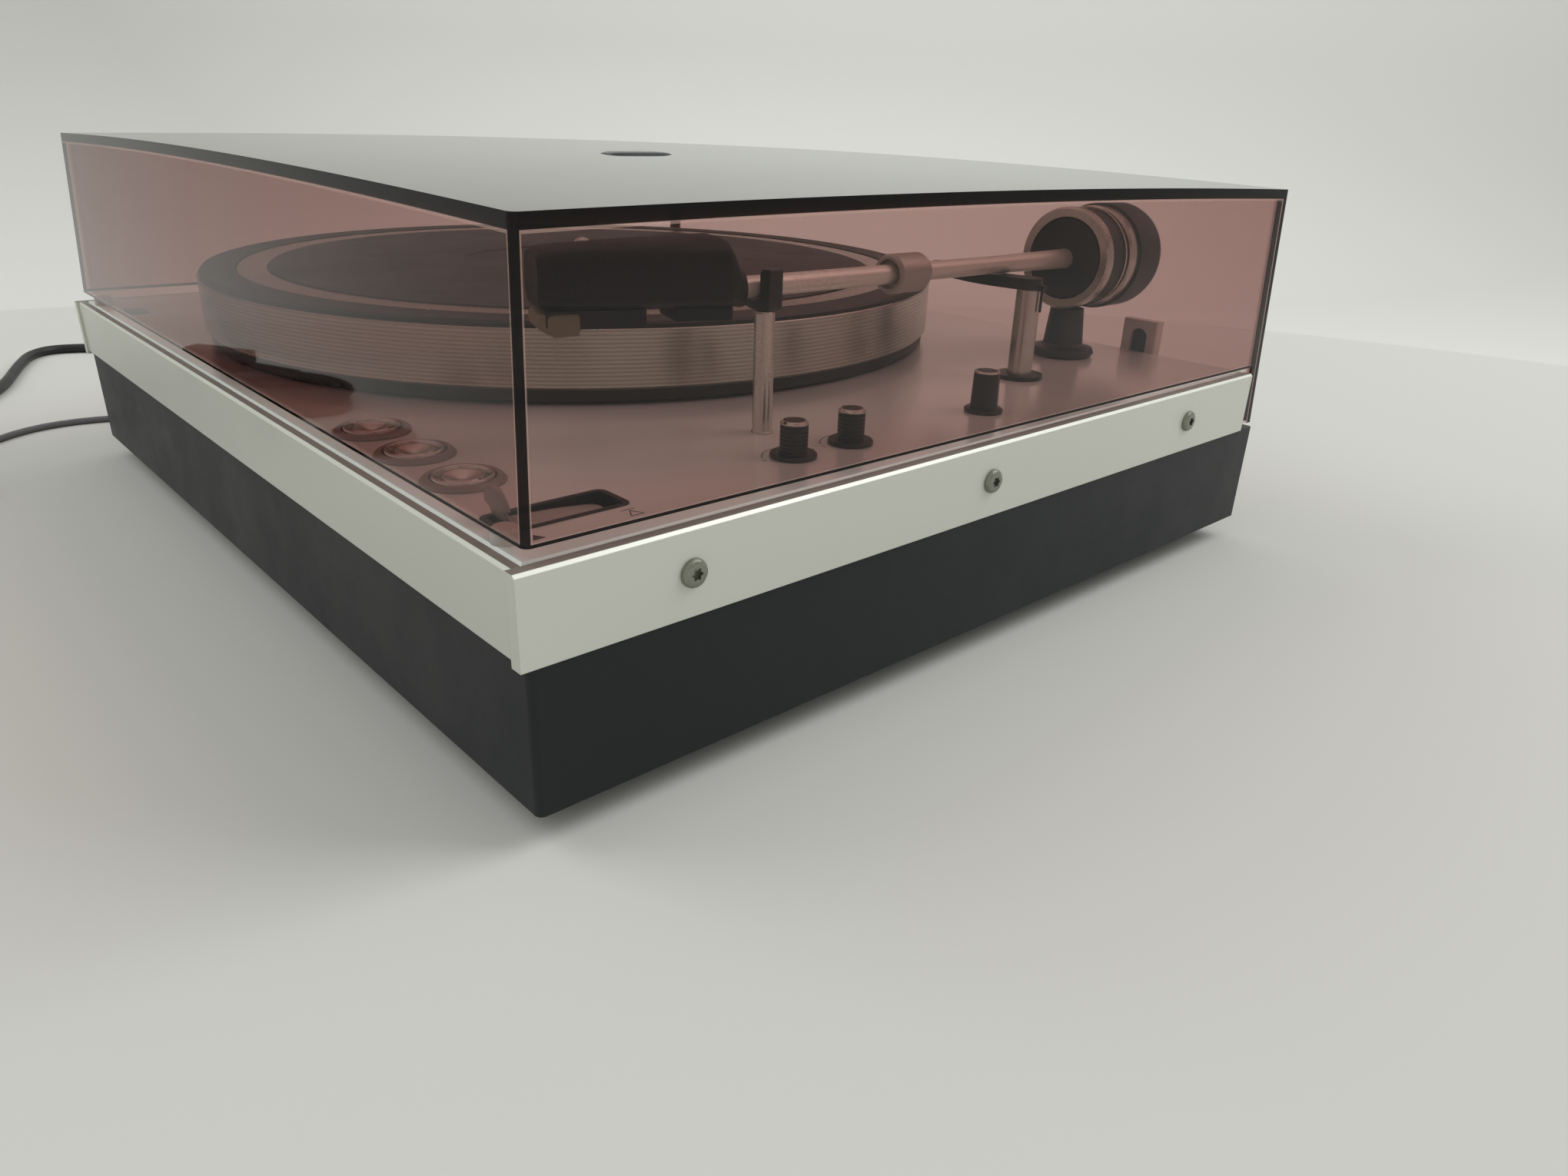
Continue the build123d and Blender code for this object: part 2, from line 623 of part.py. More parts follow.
def make_deck():
    half = WIDTH / 2 - STRIP_THICK - DECK_SIDE_GAP
    front = from_front(FRONT_STRIP_SETBACK + FRONT_STRIP_THICK + DECK_SIDE_GAP)
    deck = block(-half, half, front, from_front(FRAME_BACK), DECK_SEAT, DECK_Z)
    deck = chamfer(deck.faces().sort_by(Axis.Z)[-1].edges(), EDGE)
    holes = [(PLATTER_X, from_front(PLATTER_FROM_FRONT), BEARING_R + DECK_BORE_GAP),
             (*motor_place(), PULLEY_FLANGE_R + PULLEY_HOLE_GAP),
             (PIVOT_X, from_front(PIVOT_FROM_FRONT), NECK_R + DECK_BORE_GAP),
             (LIFT_X, from_front(LIFT_FROM_FRONT), LIFT_R + LIFT_BUSH_WALL),
             (KNOB_X, from_front(SKATE_KNOB_FROM_FRONT), KNOB_SHAFT_R + RUN_GAP)]
    holes += [(KNOB_X, from_front(y), KNOB_SHAFT_R + RUN_GAP) for y in PITCH_KNOBS_FROM_FRONT]
    holes += [(x, from_front(BUTTON_FROM_FRONT), BUTTON_R + SEAT_GAP) for x in BUTTON_X]
    for x, y, radius in holes:
        deck -= rod(x, y, DECK_SEAT - CUT, DECK_Z + CUT, radius)
    inside = TRAY_WIDTH - TRAY_WALL
    opening = tray_plan(inside, TRAY_LENGTH - TRAY_WALL, TRAY_CORNER - TRAY_WALL / 2)
    deck -= extrude(Pos(0.0, 0.0, DECK_SEAT - CUT) * opening, DECK + 2 * CUT)
    return deck


def make_cue_tray():
    """A black tray under the deck with a thin lip round its opening and the lever's axle across it."""
    lip = extrude(Pos(0.0, 0.0, DECK_Z) * tray_plan(TRAY_WIDTH, TRAY_LENGTH, TRAY_CORNER), TRAY_LIP)
    inside = TRAY_WIDTH - TRAY_WALL - 2 * RUN_GAP
    length = TRAY_LENGTH - TRAY_WALL - 2 * RUN_GAP
    radius = TRAY_CORNER - TRAY_WALL / 2
    body = extrude(Pos(0.0, 0.0, DECK_Z - TRAY_DEPTH) * tray_plan(inside, length, radius), TRAY_DEPTH)
    room = tray_plan(inside - TRAY_WALL, length - TRAY_WALL, radius - TRAY_WALL / 2)
    tray = lip + body - extrude(Pos(0.0, 0.0, DECK_Z - TRAY_DEPTH + TRAY_WALL) * room, TRAY_DEPTH + CUT)
    y, z = lever_axis()
    return tray + Pos(TRAY_X, y, z) * Rot(0.0, 90.0, 0.0) * Cylinder(LEVER_AXLE_R, inside)


def lever_axis():
    return from_front(TRAY_FRONT + TRAY_LENGTH - TRAY_WALL - LEVER_EYE_R - EDGE), DECK_Z - LEVER_AXLE_DROP


def make_cue_lever():
    """A flat blade that bends up into an upright paddle with a rounded top."""
    y, z = lever_axis()
    low = DECK_Z + SEAT_GAP - LEVER - z
    tip = low + LEVER + PADDLE_HEIGHT
    profile = Polyline((0.0, low), (-PADDLE_AT, low), (-PADDLE_AT, tip), (LEVER - PADDLE_AT, tip),
                       (LEVER - PADDLE_AT, low + LEVER), (0.0, low + LEVER), close=True)
    profile = make_face(profile)
    bends = profile.vertices().group_by(Axis.Y)
    profile = fillet(bends[0].sort_by(Axis.X)[0], PADDLE_BEND_R)
    inner = [v for v in profile.vertices()
             if abs(v.X - LEVER + PADDLE_AT) < EDGE and abs(v.Y - low - LEVER) < EDGE]
    profile = fillet(inner, PADDLE_BEND_R - LEVER)
    blade = extrude(Plane.YZ * profile, LEVER_WIDTH / 2, both=True)
    paddle = Pos(0.0, LEVER / 2 - PADDLE_AT, tip - PADDLE_WIDTH / 2) * Rot(90.0, 0.0, 0.0)
    paddle = paddle * Cylinder(PADDLE_WIDTH / 2, LEVER)
    eye = Rot(0.0, 90.0, 0.0) * Cylinder(LEVER_EYE_R, LEVER_WIDTH)
    web = block(-LEVER_WIDTH / 2, LEVER_WIDTH / 2, -LEVER_EYE_R, 0.0, 0.0, low + LEVER)
    lever = blade + paddle + eye + web - Rot(0.0, 90.0, 0.0) * Cylinder(LEVER_AXLE_R + RUN_GAP, TRAY_WIDTH)
    return Pos(TRAY_X, y, z) * lever


def make_button(x):
    floor = DECK_Z - BUTTON_SINK
    top = DECK_Z + BUTTON_RISE
    stem = switch_top() + SEAT_GAP + BUTTON_TRAVEL
    points = [(0.0, stem), (BUTTON_STEM_R, stem), (BUTTON_STEM_R, floor), (BUTTON_R, floor),
              (BUTTON_R, top - EDGE / 2), (BUTTON_R - EDGE / 2, top), (BUTTON_R - BUTTON_LIP, top),
              (BUTTON_STEM_R / 3, top - BUTTON_DISH),
              (0.0, top - BUTTON_DISH)]
    return turned(points, x, from_front(BUTTON_FROM_FRONT))


def make_button_gaiters():
    points = [(GAITER_IN_R, DECK_Z), (GAITER_R, DECK_Z), (GAITER_R, DECK_Z + GAITER_HEIGHT - GAITER_ROUND),
              (GAITER_R - GAITER_ROUND, DECK_Z + GAITER_HEIGHT), (GAITER_IN_R, DECK_Z + GAITER_HEIGHT)]
    return Compound([turned(points, x, from_front(BUTTON_FROM_FRONT)) for x in BUTTON_X])


def board_top():
    return DECK_SEAT - BOARD_DROP


def switch_top():
    return DECK_SEAT - BOARD_DROP / 2 - EDGE


def make_control_board():
    board = block(*BOARD_X, from_front(BOARD_Y[0]), from_front(BOARD_Y[1]), board_top() - BOARD, board_top())
    for x in BUTTON_X:
        y = from_front(BUTTON_FROM_FRONT)
        board += block(x - SWITCH / 2, x + SWITCH / 2, y - SWITCH / 2, y + SWITCH / 2,
                       board_top() - EDGE, switch_top())
    return board


def make_speed_board():
    y0, y1 = (from_front(y) for y in PITCH_KNOBS_FROM_FRONT)
    reach = POT_R + POT_BOARD_MARGIN
    room = WIDTH / 2 - STRIP_THICK - FRAME_WALL - SEAT_GAP
    board = block(KNOB_X - reach, room, y0 - reach, y1 + reach, board_top() - BOARD, board_top())
    for y in (y0, y1):
        board += rod(KNOB_X, y, board_top() - EDGE, switch_top(), POT_R)
    return board


def make_board_spacers():
    x0, x1 = BOARD_X[0] + BOARD_MARGIN, BOARD_X[1] - BOARD_MARGIN
    y0, y1 = from_front(BOARD_Y[0] + BOARD_MARGIN), from_front(BOARD_Y[1] - BOARD_MARGIN)
    places = [(x, y) for x in (x0, x1) for y in (y0, y1)]
    reach = POT_R + BOARD_MARGIN
    low, high = (from_front(y) for y in PITCH_KNOBS_FROM_FRONT)
    places += [(KNOB_X, low - reach), (KNOB_X, high + reach)]
    return [rod(x, y, board_top(), DECK_SEAT, BOARD_SPACER_R) for x, y in places]


def make_knob(y, flange_r, radius, height, draft, ribs):
    low = DECK_Z + SEAT_GAP
    base = low + KNOB_FLANGE
    top = low + height
    points = [(0.0, switch_top() + SEAT_GAP), (KNOB_SHAFT_R, switch_top() + SEAT_GAP), (KNOB_SHAFT_R, low),
              (flange_r, low), (flange_r, base - KNOB_FLANGE / 3), (flange_r - KNOB_FLANGE / 3, base),
              (radius, base)]
    pitch = (top - KNOB_CHAMFER - base) / (2 * ribs + 1)
    for index in range(ribs):
        z = base + (2 * index + 1) * pitch
        points += [(radius, z), (radius - KNOB_RIB_DEPTH, z), (radius - KNOB_RIB_DEPTH, z + pitch),
                   (radius, z + pitch)]
    points += [(radius - draft, top - KNOB_CHAMFER), (radius - draft - KNOB_CHAMFER, top), (0.0, top)]
    return turned(points, KNOB_X, from_front(y))


def make_chassis():
    centre = (PLATTER_X, from_front(PLATTER_FROM_FRONT))
    plate = None
    for x, y in chassis_ends():
        run = math.dist(centre, (x, y))
        angle = math.degrees(math.atan2(y - centre[1], x - centre[0]))
        arm = Pos((centre[0] + x) / 2, (centre[1] + y) / 2, CHASSIS_Z - CHASSIS) * Rot(0.0, 0.0, angle)
        arm = extrude(arm * SlotCenterToCenter(run, CHASSIS_ARM_WIDTH), CHASSIS)
        plate = arm if plate is None else plate + arm
    plate -= rod(*centre, CHASSIS_Z - 2 * CHASSIS, CHASSIS_Z + CUT, BEARING_R)
    plate -= rod(*motor_place(), CHASSIS_Z - 2 * CHASSIS, CHASSIS_Z + CUT, PULLEY_FLANGE_R)
    return plate


def chassis_ends():
    front_share = 0.32
    front = (PLATTER_X, from_front(front_share * PLATTER_FROM_FRONT))
    return [(PIVOT_X, from_front(PIVOT_FROM_FRONT)), motor_place(), front]


def make_chassis_spacers():
    spacers = []
    centre = (PLATTER_X, from_front(PLATTER_FROM_FRONT))
    for x, y in chassis_ends():
        run = math.dist(centre, (x, y))
        along = ((x - centre[0]) / run, (y - centre[1]) / run)
        across = (-along[1], along[0])
        middle = ((centre[0] + x) / 2, (centre[1] + y) / 2)
        reach = CHASSIS_ARM_WIDTH / 2 - 2 * SPACER_R
        for sign in (-1, 1):
            place = (middle[0] + sign * across[0] * reach, middle[1] + sign * across[1] * reach)
            spacers.append(rod(*place, CHASSIS_Z, DECK_SEAT, SPACER_R))
    return spacers


def make_bearing():
    x, y = PLATTER_X, from_front(PLATTER_FROM_FRONT)
    top = DECK_Z + BEARING_TOP
    low = CHASSIS_Z - BEARING_DEEP
    points = [(0.0, low), (BEARING_R - EDGE, low), (BEARING_R, low + EDGE), (BEARING_R, CHASSIS_Z),
              (BEARING_FLANGE_R, CHASSIS_Z), (BEARING_FLANGE_R, CHASSIS_Z + BEARING_FLANGE),
              (BEARING_R, CHASSIS_Z + BEARING_FLANGE), (BEARING_R, top), (SHAFT_R + RUN_GAP, top),
              (SHAFT_R + RUN_GAP, low + BEARING_FLOOR), (0.0, low + BEARING_FLOOR)]
    bearing = turned(points, x, y)
    head = screw(SMALL_HEAD_R, SMALL_HEAD_H, SCREW_R, BEARING_FLANGE)
    for angle in BEARING_SCREW_ANGLES:
        turn = Pos(x, y, CHASSIS_Z + BEARING_FLANGE) * Rot(0.0, 0.0, angle)
        bearing += turn * Pos(BEARING_SCREW_CIRCLE, 0.0, 0.0) * head
    return bearing


def make_spindle():
    low = CHASSIS_Z - BEARING_DEEP + BEARING_FLOOR + RUN_GAP
    top = MAT_TOP + SPINDLE_RISE
    shoulder = MAT_TOP - MAT_LABEL_SINK
    points = [(0.0, low), (SHAFT_R / 2, low), (SHAFT_R, low + SHAFT_R / 2), (SHAFT_R, shoulder),
              (SPINDLE_R, shoulder),
              (SPINDLE_R, top - SPINDLE_NOSE), (SPINDLE_R * SPINDLE_NOSE_SHARE, top - SPINDLE_NOSE / 3),
              (SPINDLE_R / 3, top), (0.0, top)]
    return turned(points, PLATTER_X, from_front(PLATTER_FROM_FRONT))


def make_sub_platter():
    x, y = PLATTER_X, from_front(PLATTER_FROM_FRONT)
    low = WEB_BOTTOM - SUB_RIM_HEIGHT
    hub_low = WEB_BOTTOM - SUB_HUB_HEIGHT
    points = [(SHAFT_R, hub_low), (SUB_HUB_R, hub_low), (SUB_HUB_R, WEB_BOTTOM - SUB_WEB),
              (SUB_R - SUB_RIM, WEB_BOTTOM - SUB_WEB), (SUB_R - SUB_RIM, low), (SUB_R, low),
              (SUB_R, WEB_BOTTOM - EDGE), (SUB_R - EDGE, WEB_BOTTOM), (SHAFT_R, WEB_BOTTOM)]
    hub = turned(points, x, y)
    reach = SUB_R - SUB_RIM - SUB_HUB_R + 2 * EDGE
    rib = Pos(SUB_HUB_R - EDGE + reach / 2, 0.0, WEB_BOTTOM - SUB_WEB - SUB_RIM_HEIGHT / 4)
    rib = rib * Box(reach, SUB_RIB, SUB_RIM_HEIGHT / 2)
    for index in range(SUB_RIBS):
        hub += Pos(x, y, 0.0) * Rot(0.0, 0.0, index * 360 / SUB_RIBS) * rib
    return hub


def make_platter():
    low = PLATTER_TOP - RIM_HEIGHT
    points = [(SHAFT_R + RUN_GAP, WEB_BOTTOM), (SUB_R, WEB_BOTTOM), (PLATTER_R - 2 * RIM_THICK, WEB_BOTTOM),
              (PLATTER_R - RIM_THICK, WEB_BOTTOM - RIM_THICK), (PLATTER_R - RIM_THICK, low),
              (PLATTER_R - EDGE, low), (PLATTER_R, low + EDGE), (PLATTER_R, PLATTER_TOP - EDGE / 2),
              (PLATTER_R - EDGE / 2, PLATTER_TOP), (SHAFT_R + RUN_GAP, PLATTER_TOP)]
    return turned(points, PLATTER_X, from_front(PLATTER_FROM_FRONT))


def make_mat():
    bore = SPINDLE_R + MAT_BORE_GAP
    points = [(bore, PLATTER_TOP), (MAT_DISC_R, PLATTER_TOP), (MAT_DISC_R, MAT_TOP),
              (MAT_LABEL_R + MAT_LABEL_SINK, MAT_TOP),
              (MAT_LABEL_R, MAT_TOP - MAT_LABEL_SINK), (bore, MAT_TOP - MAT_LABEL_SINK)]
    return turned(points, PLATTER_X, from_front(PLATTER_FROM_FRONT))


def make_mat_ring():
    points = [(MAT_RING_IN_R, PLATTER_TOP), (MAT_R, PLATTER_TOP), (MAT_R, MAT_TOP - EDGE),
              (MAT_R - EDGE, MAT_TOP),
              (MAT_RING_IN_R, MAT_TOP)]
    return turned(points, PLATTER_X, from_front(PLATTER_FROM_FRONT))


def make_motor():
    x, y = motor_place()
    top = CHASSIS_Z - CHASSIS - BUSH
    points = [(0.0, top - MOTOR_HEIGHT), (MOTOR_R - EDGE, top - MOTOR_HEIGHT),
              (MOTOR_R, top - MOTOR_HEIGHT + EDGE), (MOTOR_R, top - EDGE), (MOTOR_R - EDGE, top),
              (PULLEY_R, top),
              (PULLEY_R, CHASSIS_Z - CHASSIS / 2), (MOTOR_SHAFT_R + RUN_GAP, CHASSIS_Z - CHASSIS / 2),
              (MOTOR_SHAFT_R + RUN_GAP, top - MOTOR_HEIGHT / 2),
              (0.0, top - MOTOR_HEIGHT / 2)]
    motor = turned(points, x, y)
    for angle in MOTOR_EAR_ANGLES:
        ear = Pos(MOTOR_EAR_CIRCLE / 2, 0.0, 0.0) * Box(MOTOR_EAR_CIRCLE, 2 * MOTOR_EAR_R, MOTOR_EAR)
        ear -= Cylinder(MOTOR_R / 2, 2 * MOTOR_EAR)
        ear += Pos(MOTOR_EAR_CIRCLE, 0.0, 0.0) * Cylinder(MOTOR_EAR_R, MOTOR_EAR)
        motor += Pos(x, y, top - MOTOR_EAR / 2) * Rot(0.0, 0.0, angle) * ear
    return motor


def make_motor_bushes():
    x, y = motor_place()
    top = CHASSIS_Z - CHASSIS
    bush = rod(MOTOR_EAR_CIRCLE, 0.0, top - BUSH, top, BUSH_R)
    return Compound([Pos(x, y, 0.0) * Rot(0.0, 0.0, angle) * bush for angle in MOTOR_EAR_ANGLES])


def belt_low():
    return DECK_Z + BELT_RISE


def make_pulley():
    x, y = motor_place()
    low = belt_low() - (PULLEY_HEIGHT - BELT_WIDTH) / 2
    top = low + PULLEY_HEIGHT
    shaft_low = CHASSIS_Z - CHASSIS - BUSH - MOTOR_HEIGHT / 2 + RUN_GAP
    points = [(0.0, shaft_low), (MOTOR_SHAFT_R, shaft_low), (MOTOR_SHAFT_R, low), (PULLEY_FLANGE_R, low),
              (PULLEY_FLANGE_R, low + PULLEY_FLANGE), (PULLEY_R, low + 2 * PULLEY_FLANGE),
              (PULLEY_R, top - 2 * PULLEY_FLANGE), (PULLEY_FLANGE_R, top - PULLEY_FLANGE),
              (PULLEY_FLANGE_R, top),
              (0.0, top)]
    return turned(points, x, y)


def make_belt():
    def loop(grow):
        big = Pos(PLATTER_X, from_front(PLATTER_FROM_FRONT)) * Circle(SUB_R + BELT_GAP + grow)
        small = Pos(*motor_place()) * Circle(PULLEY_R + BELT_GAP + grow)
        return make_hull(big.edges() + small.edges())
    band = loop(BELT) - loop(0.0)
    return extrude(Pos(0.0, 0.0, belt_low()) * band, BELT_WIDTH)


def make_transformer():
    x, y = CORE_X, from_front(CORE_FROM_FRONT)
    low = FOOT_HEIGHT + COVER
    core = block(x - CORE_WIDTH / 2, x + CORE_WIDTH / 2, y - CORE_DEPTH / 2, y + CORE_DEPTH / 2,
                 low, low + CORE_HEIGHT)
    middle = low + CORE_HEIGHT / 2
    bobbin = rounded_block(x - BOBBIN_WIDTH / 2, x + BOBBIN_WIDTH / 2,
                           y - BOBBIN_DEPTH / 2, y + BOBBIN_DEPTH / 2,
                           middle - BOBBIN_HEIGHT / 2, middle + BOBBIN_HEIGHT / 2, EDGE)
    return core + bobbin


def make_pillar():
    flange_low = DECK_Z + NECK_RISE
    flange_top = flange_low + PILLAR_FLANGE
    top = PIVOT_Z - RING_R - SEAT_GAP
    pin_top = top + YAW_BOSS_HEIGHT
    points = [(0.0, CHASSIS_Z), (PILLAR_FOOT_R, CHASSIS_Z), (PILLAR_FOOT_R, CHASSIS_Z + PILLAR_FOOT),
              (NECK_R, CHASSIS_Z + PILLAR_FOOT), (NECK_R, flange_low), (PILLAR_FLANGE_R - EDGE, flange_low),
              (PILLAR_FLANGE_R, flange_low + PILLAR_FLANGE / 3), (PILLAR_FLANGE_R - EDGE, flange_top - EDGE),
              (PILLAR_LOW_R + EDGE, flange_top), (PILLAR_LOW_R, flange_top + EDGE), (PILLAR_TOP_R, top),
              (YAW_PIN_R, top), (YAW_PIN_R, pin_top), (0.0, pin_top)]
    return turned(points, PIVOT_X, from_front(PIVOT_FROM_FRONT))


def make_housing():
    """The black barrel round the arm's line, with a boss for the upright pin."""
    barrel = Cylinder(HOUSING_R, HOUSING_BACK + RING_FRONT - RING_DEPTH, align=BOTTOM)
    barrel = along_arm(Pos(0.0, 0.0, -HOUSING_BACK) * barrel)
    bore = along_arm(Cylinder(HOUSING_BORE_R, 4 * HOUSING_BACK))
    barrel -= bore
    x, y = PIVOT_X, from_front(PIVOT_FROM_FRONT)
    boss_low = PIVOT_Z - HOUSING_R
    boss = rod(x, y, boss_low, boss_low + YAW_BOSS_HEIGHT + EDGE, YAW_BOSS_R)
    barrel += boss & along_arm(Cylinder(HOUSING_R, 4 * HOUSING_BACK))
    barrel -= rod(x, y, boss_low - CUT, PIVOT_Z - RING_R + YAW_BOSS_HEIGHT, YAW_PIN_R + RUN_GAP)
    reach = HOUSING_BORE_R + AXLE_REACH
    return barrel - along_arm(Rot(0.0, 90.0, 0.0) * Cylinder(AXLE_R + RUN_GAP, 2 * reach))


def make_housing_rings():
    front = Pos(0.0, 0.0, RING_FRONT - RING_DEPTH) * Cylinder(RING_R, RING_DEPTH, align=BOTTOM)
    front = chamfer(front.edges().sort_by(Axis.Z)[-1], EDGE)
    front -= Cylinder(HOUSING_BORE_R, 4 * RING_FRONT)
    back = Pos(0.0, 0.0, -HOUSING_BACK - RING_BACK) * Cylinder(RING_R, RING_BACK, align=BOTTOM)
    back -= Cylinder(HOUSING_BORE_R, 4 * RING_FRONT)
    return Compound([along_arm(front), along_arm(back)])


def make_arm_hub():
    """Black discs that close the housing, the hub between them, the cross axle and the rear stub."""
    front = RING_FRONT - DISC_SINK
    back = -HOUSING_BACK - RING_BACK + DISC_SINK
    points = [(0.0, -STUB_END), (STUB_R - EDGE, -STUB_END), (STUB_R, EDGE - STUB_END), (STUB_R, back),
              (DISC_R, back),
              (DISC_R, back + DISC), (HUB_R, back + DISC), (HUB_R, front - DISC), (DISC_R, front - DISC),
              (DISC_R, front),
              (TUBE_REAR_R, front), (TUBE_REAR_R, -HUB_LENGTH / 2), (0.0, -HUB_LENGTH / 2)]
    reach = HOUSING_BORE_R + AXLE_REACH - SEAT_GAP
    axle = Rot(0.0, 90.0, 0.0) * Cylinder(AXLE_R, 2 * reach)
    axle -= Cylinder(HUB_R - EDGE, 4 * AXLE_R)
    return along_arm(turned(points) + axle)


def tube_radius(forward):
    """The tube tapers towards the pivot."""
    if forward >= TUBE_TAPER_FROM:
        return TUBE_R
    return TUBE_REAR_R + (TUBE_R - TUBE_REAR_R) * max(forward, 0.0) / TUBE_TAPER_FROM


def make_arm_tube():
    back = -HUB_LENGTH / 2
    points = [(TUBE_R - TUBE_WALL, TUBE_LENGTH), (TUBE_R, TUBE_LENGTH), (TUBE_R, TUBE_TAPER_FROM),
              (TUBE_REAR_R, RING_FRONT), (TUBE_REAR_R, back), (TUBE_R - TUBE_WALL, back)]
    return along_arm(turned(points))


def make_force_weight():
    half = FORCE_WEIGHT_LENGTH / 2
    bore = TUBE_R + RUN_GAP
    soft = FORCE_WEIGHT_ROUND
    points = [(bore, -half), (FORCE_WEIGHT_R - soft, -half), (FORCE_WEIGHT_R - soft / 3, -half + soft / 3),
              (FORCE_WEIGHT_R, -half + soft), (FORCE_WEIGHT_R, half - EDGE), (FORCE_WEIGHT_R - EDGE, half),
              (FORCE_WEIGHT_RECESS_R, half), (FORCE_WEIGHT_RECESS_R, half - FORCE_WEIGHT_RECESS),
              (bore, half - FORCE_WEIGHT_RECESS)]
    return along_arm(Pos(0.0, 0.0, FORCE_WEIGHT_AT) * turned(points))


def make_counterweight():
    bore = STUB_R + RUN_GAP
    end = WEIGHT_FROM + WEIGHT_LENGTH
    soft = WEIGHT_ROUND
    points = [(bore, -WEIGHT_FROM), (WEIGHT_R - WEIGHT_EDGE, -WEIGHT_FROM),
              (WEIGHT_R, -WEIGHT_FROM - WEIGHT_EDGE),
              (WEIGHT_R, -end + soft), (WEIGHT_R - soft * ROUND_SHARE, -end + soft / 2),
              (WEIGHT_R - soft / 2, -end + soft * ROUND_SHARE),
              (WEIGHT_R - soft, -end), (0.0, -end), (0.0, -end + soft), (bore, -end + soft)]
    return along_arm(turned(points))


def make_counterweight_ring():
    low = WEIGHT_FROM
    high = WEIGHT_FROM - WEIGHT_RING_LENGTH
    bore = STUB_R + RUN_GAP
    points = [(bore, -low), (WEIGHT_RING_R, -low), (WEIGHT_RING_R, -high - EDGE),
              (WEIGHT_RING_R - EDGE, -high), (bore, -high)]
    return along_arm(turned(points))


def on_shell(shape):
    """Place a shape made at the tube's front end, +Y forward and +Z up, turned inwards."""
    end = Pos(arm_point(TUBE_LENGTH))
    line = Rot(0.0, 0.0, ARM_SWING) * Rot(-ARM_SLOPE, 0.0, 0.0)
    return end * line * Rot(0.0, 0.0, 180.0 - OFFSET_ANGLE) * shape


def make_headshell():
    rear = -COLLAR_LENGTH / 2
    outline = make_face(Polyline((-SHELL_WIDTH / 2, 0.0), (SHELL_WIDTH / 2, 0.0),
                                 (SHELL_WIDTH / 2, SHELL_LENGTH / 2),
                                 (SHELL_NOSE_WIDTH / 2, SHELL_LENGTH), (-SHELL_NOSE_WIDTH / 2, SHELL_LENGTH),
                                 (-SHELL_WIDTH / 2, SHELL_LENGTH / 2), close=True))
    shell = extrude(Pos(0.0, 0.0, -SHELL_LOW) * outline, SHELL_LOW + SHELL_TOP)
    shell = fillet(shell.edges().filter_by(Axis.Z), SHELL_ROUND / 2)
    shell = fillet(shell.faces().sort_by(Axis.Z)[-1].edges(), SHELL_ROUND / 3)
    room = block(-SHELL_NOSE_WIDTH / 2 + SHELL_WALL, SHELL_NOSE_WIDTH / 2 - SHELL_WALL,
                 PLUG_BLOCK_LENGTH + SHELL_WALL, SHELL_LENGTH - SHELL_WALL,
                 -SHELL_LOW - CUT, SHELL_TOP - SHELL_WALL)
    plug = block(-CARTRIDGE_WIDTH / 2, CARTRIDGE_WIDTH / 2, EDGE, PLUG_BLOCK_LENGTH,
                 -PLUG_BLOCK_LOW, -SHELL_LOW + EDGE)
    shell = on_shell(shell - room + plug)
    collar = along_arm(Pos(0.0, 0.0, TUBE_LENGTH + rear) * Cylinder(COLLAR_R, COLLAR_LENGTH, align=BOTTOM))
    socket = along_arm(Pos(0.0, 0.0, TUBE_LENGTH + 2 * rear) * Cylinder(TUBE_R, -2 * rear, align=BOTTOM))
    return shell + collar - socket


def make_cartridge():
    back = SHELL_LENGTH - CARTRIDGE_FROM_NOSE - CARTRIDGE_LENGTH
    front = SHELL_LENGTH - CARTRIDGE_FROM_NOSE
    half = SHELL_NOSE_WIDTH / 2 - SHELL_WALL - SEAT_GAP
    top = block(-half, half, back, front - SHELL_WALL, -SHELL_LOW - EDGE, SHELL_TOP - SHELL_WALL)
    half_low = CARTRIDGE_WIDTH / 2
    low = block(-half_low, half_low, back, front, -CARTRIDGE_LOW, -SHELL_LOW - RUN_GAP)
    low = chamfer(low.faces().sort_by(Axis.Z)[0].edges().filter_by(Axis.X), EDGE)
    return on_shell(top + low)


def make_stylus_guard():
    """A faceted grip in front of the stylus, and the holder behind it."""
    front = SHELL_LENGTH
    half = GUARD_WIDTH / 2
    back = front - GUARD_LENGTH
    low = -GUARD_LOW
    top = -CARTRIDGE_LOW - RUN_GAP
    step = (GUARD_LOW - CARTRIDGE_LOW) / 2
    face = make_face(Polyline((back, top), (front, top), (front + GUARD_NOSE / 2, top),
                              (front + GUARD_NOSE, top - step),
                              (front + GUARD_NOSE / 2, low), (back, low), close=True))
    guard = extrude(Plane.YZ * face, half, both=True)
    nose = block(-half, half, front - CARTRIDGE_FROM_NOSE + RUN_GAP, front + GUARD_NOSE / 2,
                 top - step / 2, -SHELL_LOW - RUN_GAP)
    return on_shell(guard + nose)


def make_stylus():
    y = SHELL_LENGTH - STYLUS_FROM_NOSE
    rod_length = STYLUS_FROM_NOSE - GUARD_LENGTH
    beam = Rot(90.0, 0.0, 0.0) * Cylinder(STYLUS_R, rod_length)
    beam = Pos(0.0, y + rod_length / 2, 2 * STYLUS_R - GUARD_LOW) * beam
    tip = Pos(0.0, y, 0.0) * turned([(0.0, -STYLUS_LOW), (STYLUS_R, -GUARD_LOW),
                                     (STYLUS_R, 2 * STYLUS_R - GUARD_LOW),
                                     (0.0, 2 * STYLUS_R - GUARD_LOW)])
    return on_shell(beam + tip)


def tube_bottom(forward):
    point = arm_point(forward)
    return point.Z - tube_radius(forward)


def make_rest_post():
    top = tube_bottom(REST_FORWARD) - CRADLE_GAP - CLIP_CRADLE
    return rod(REST_X, from_front(REST_FROM_FRONT), DECK_Z, top, REST_R)


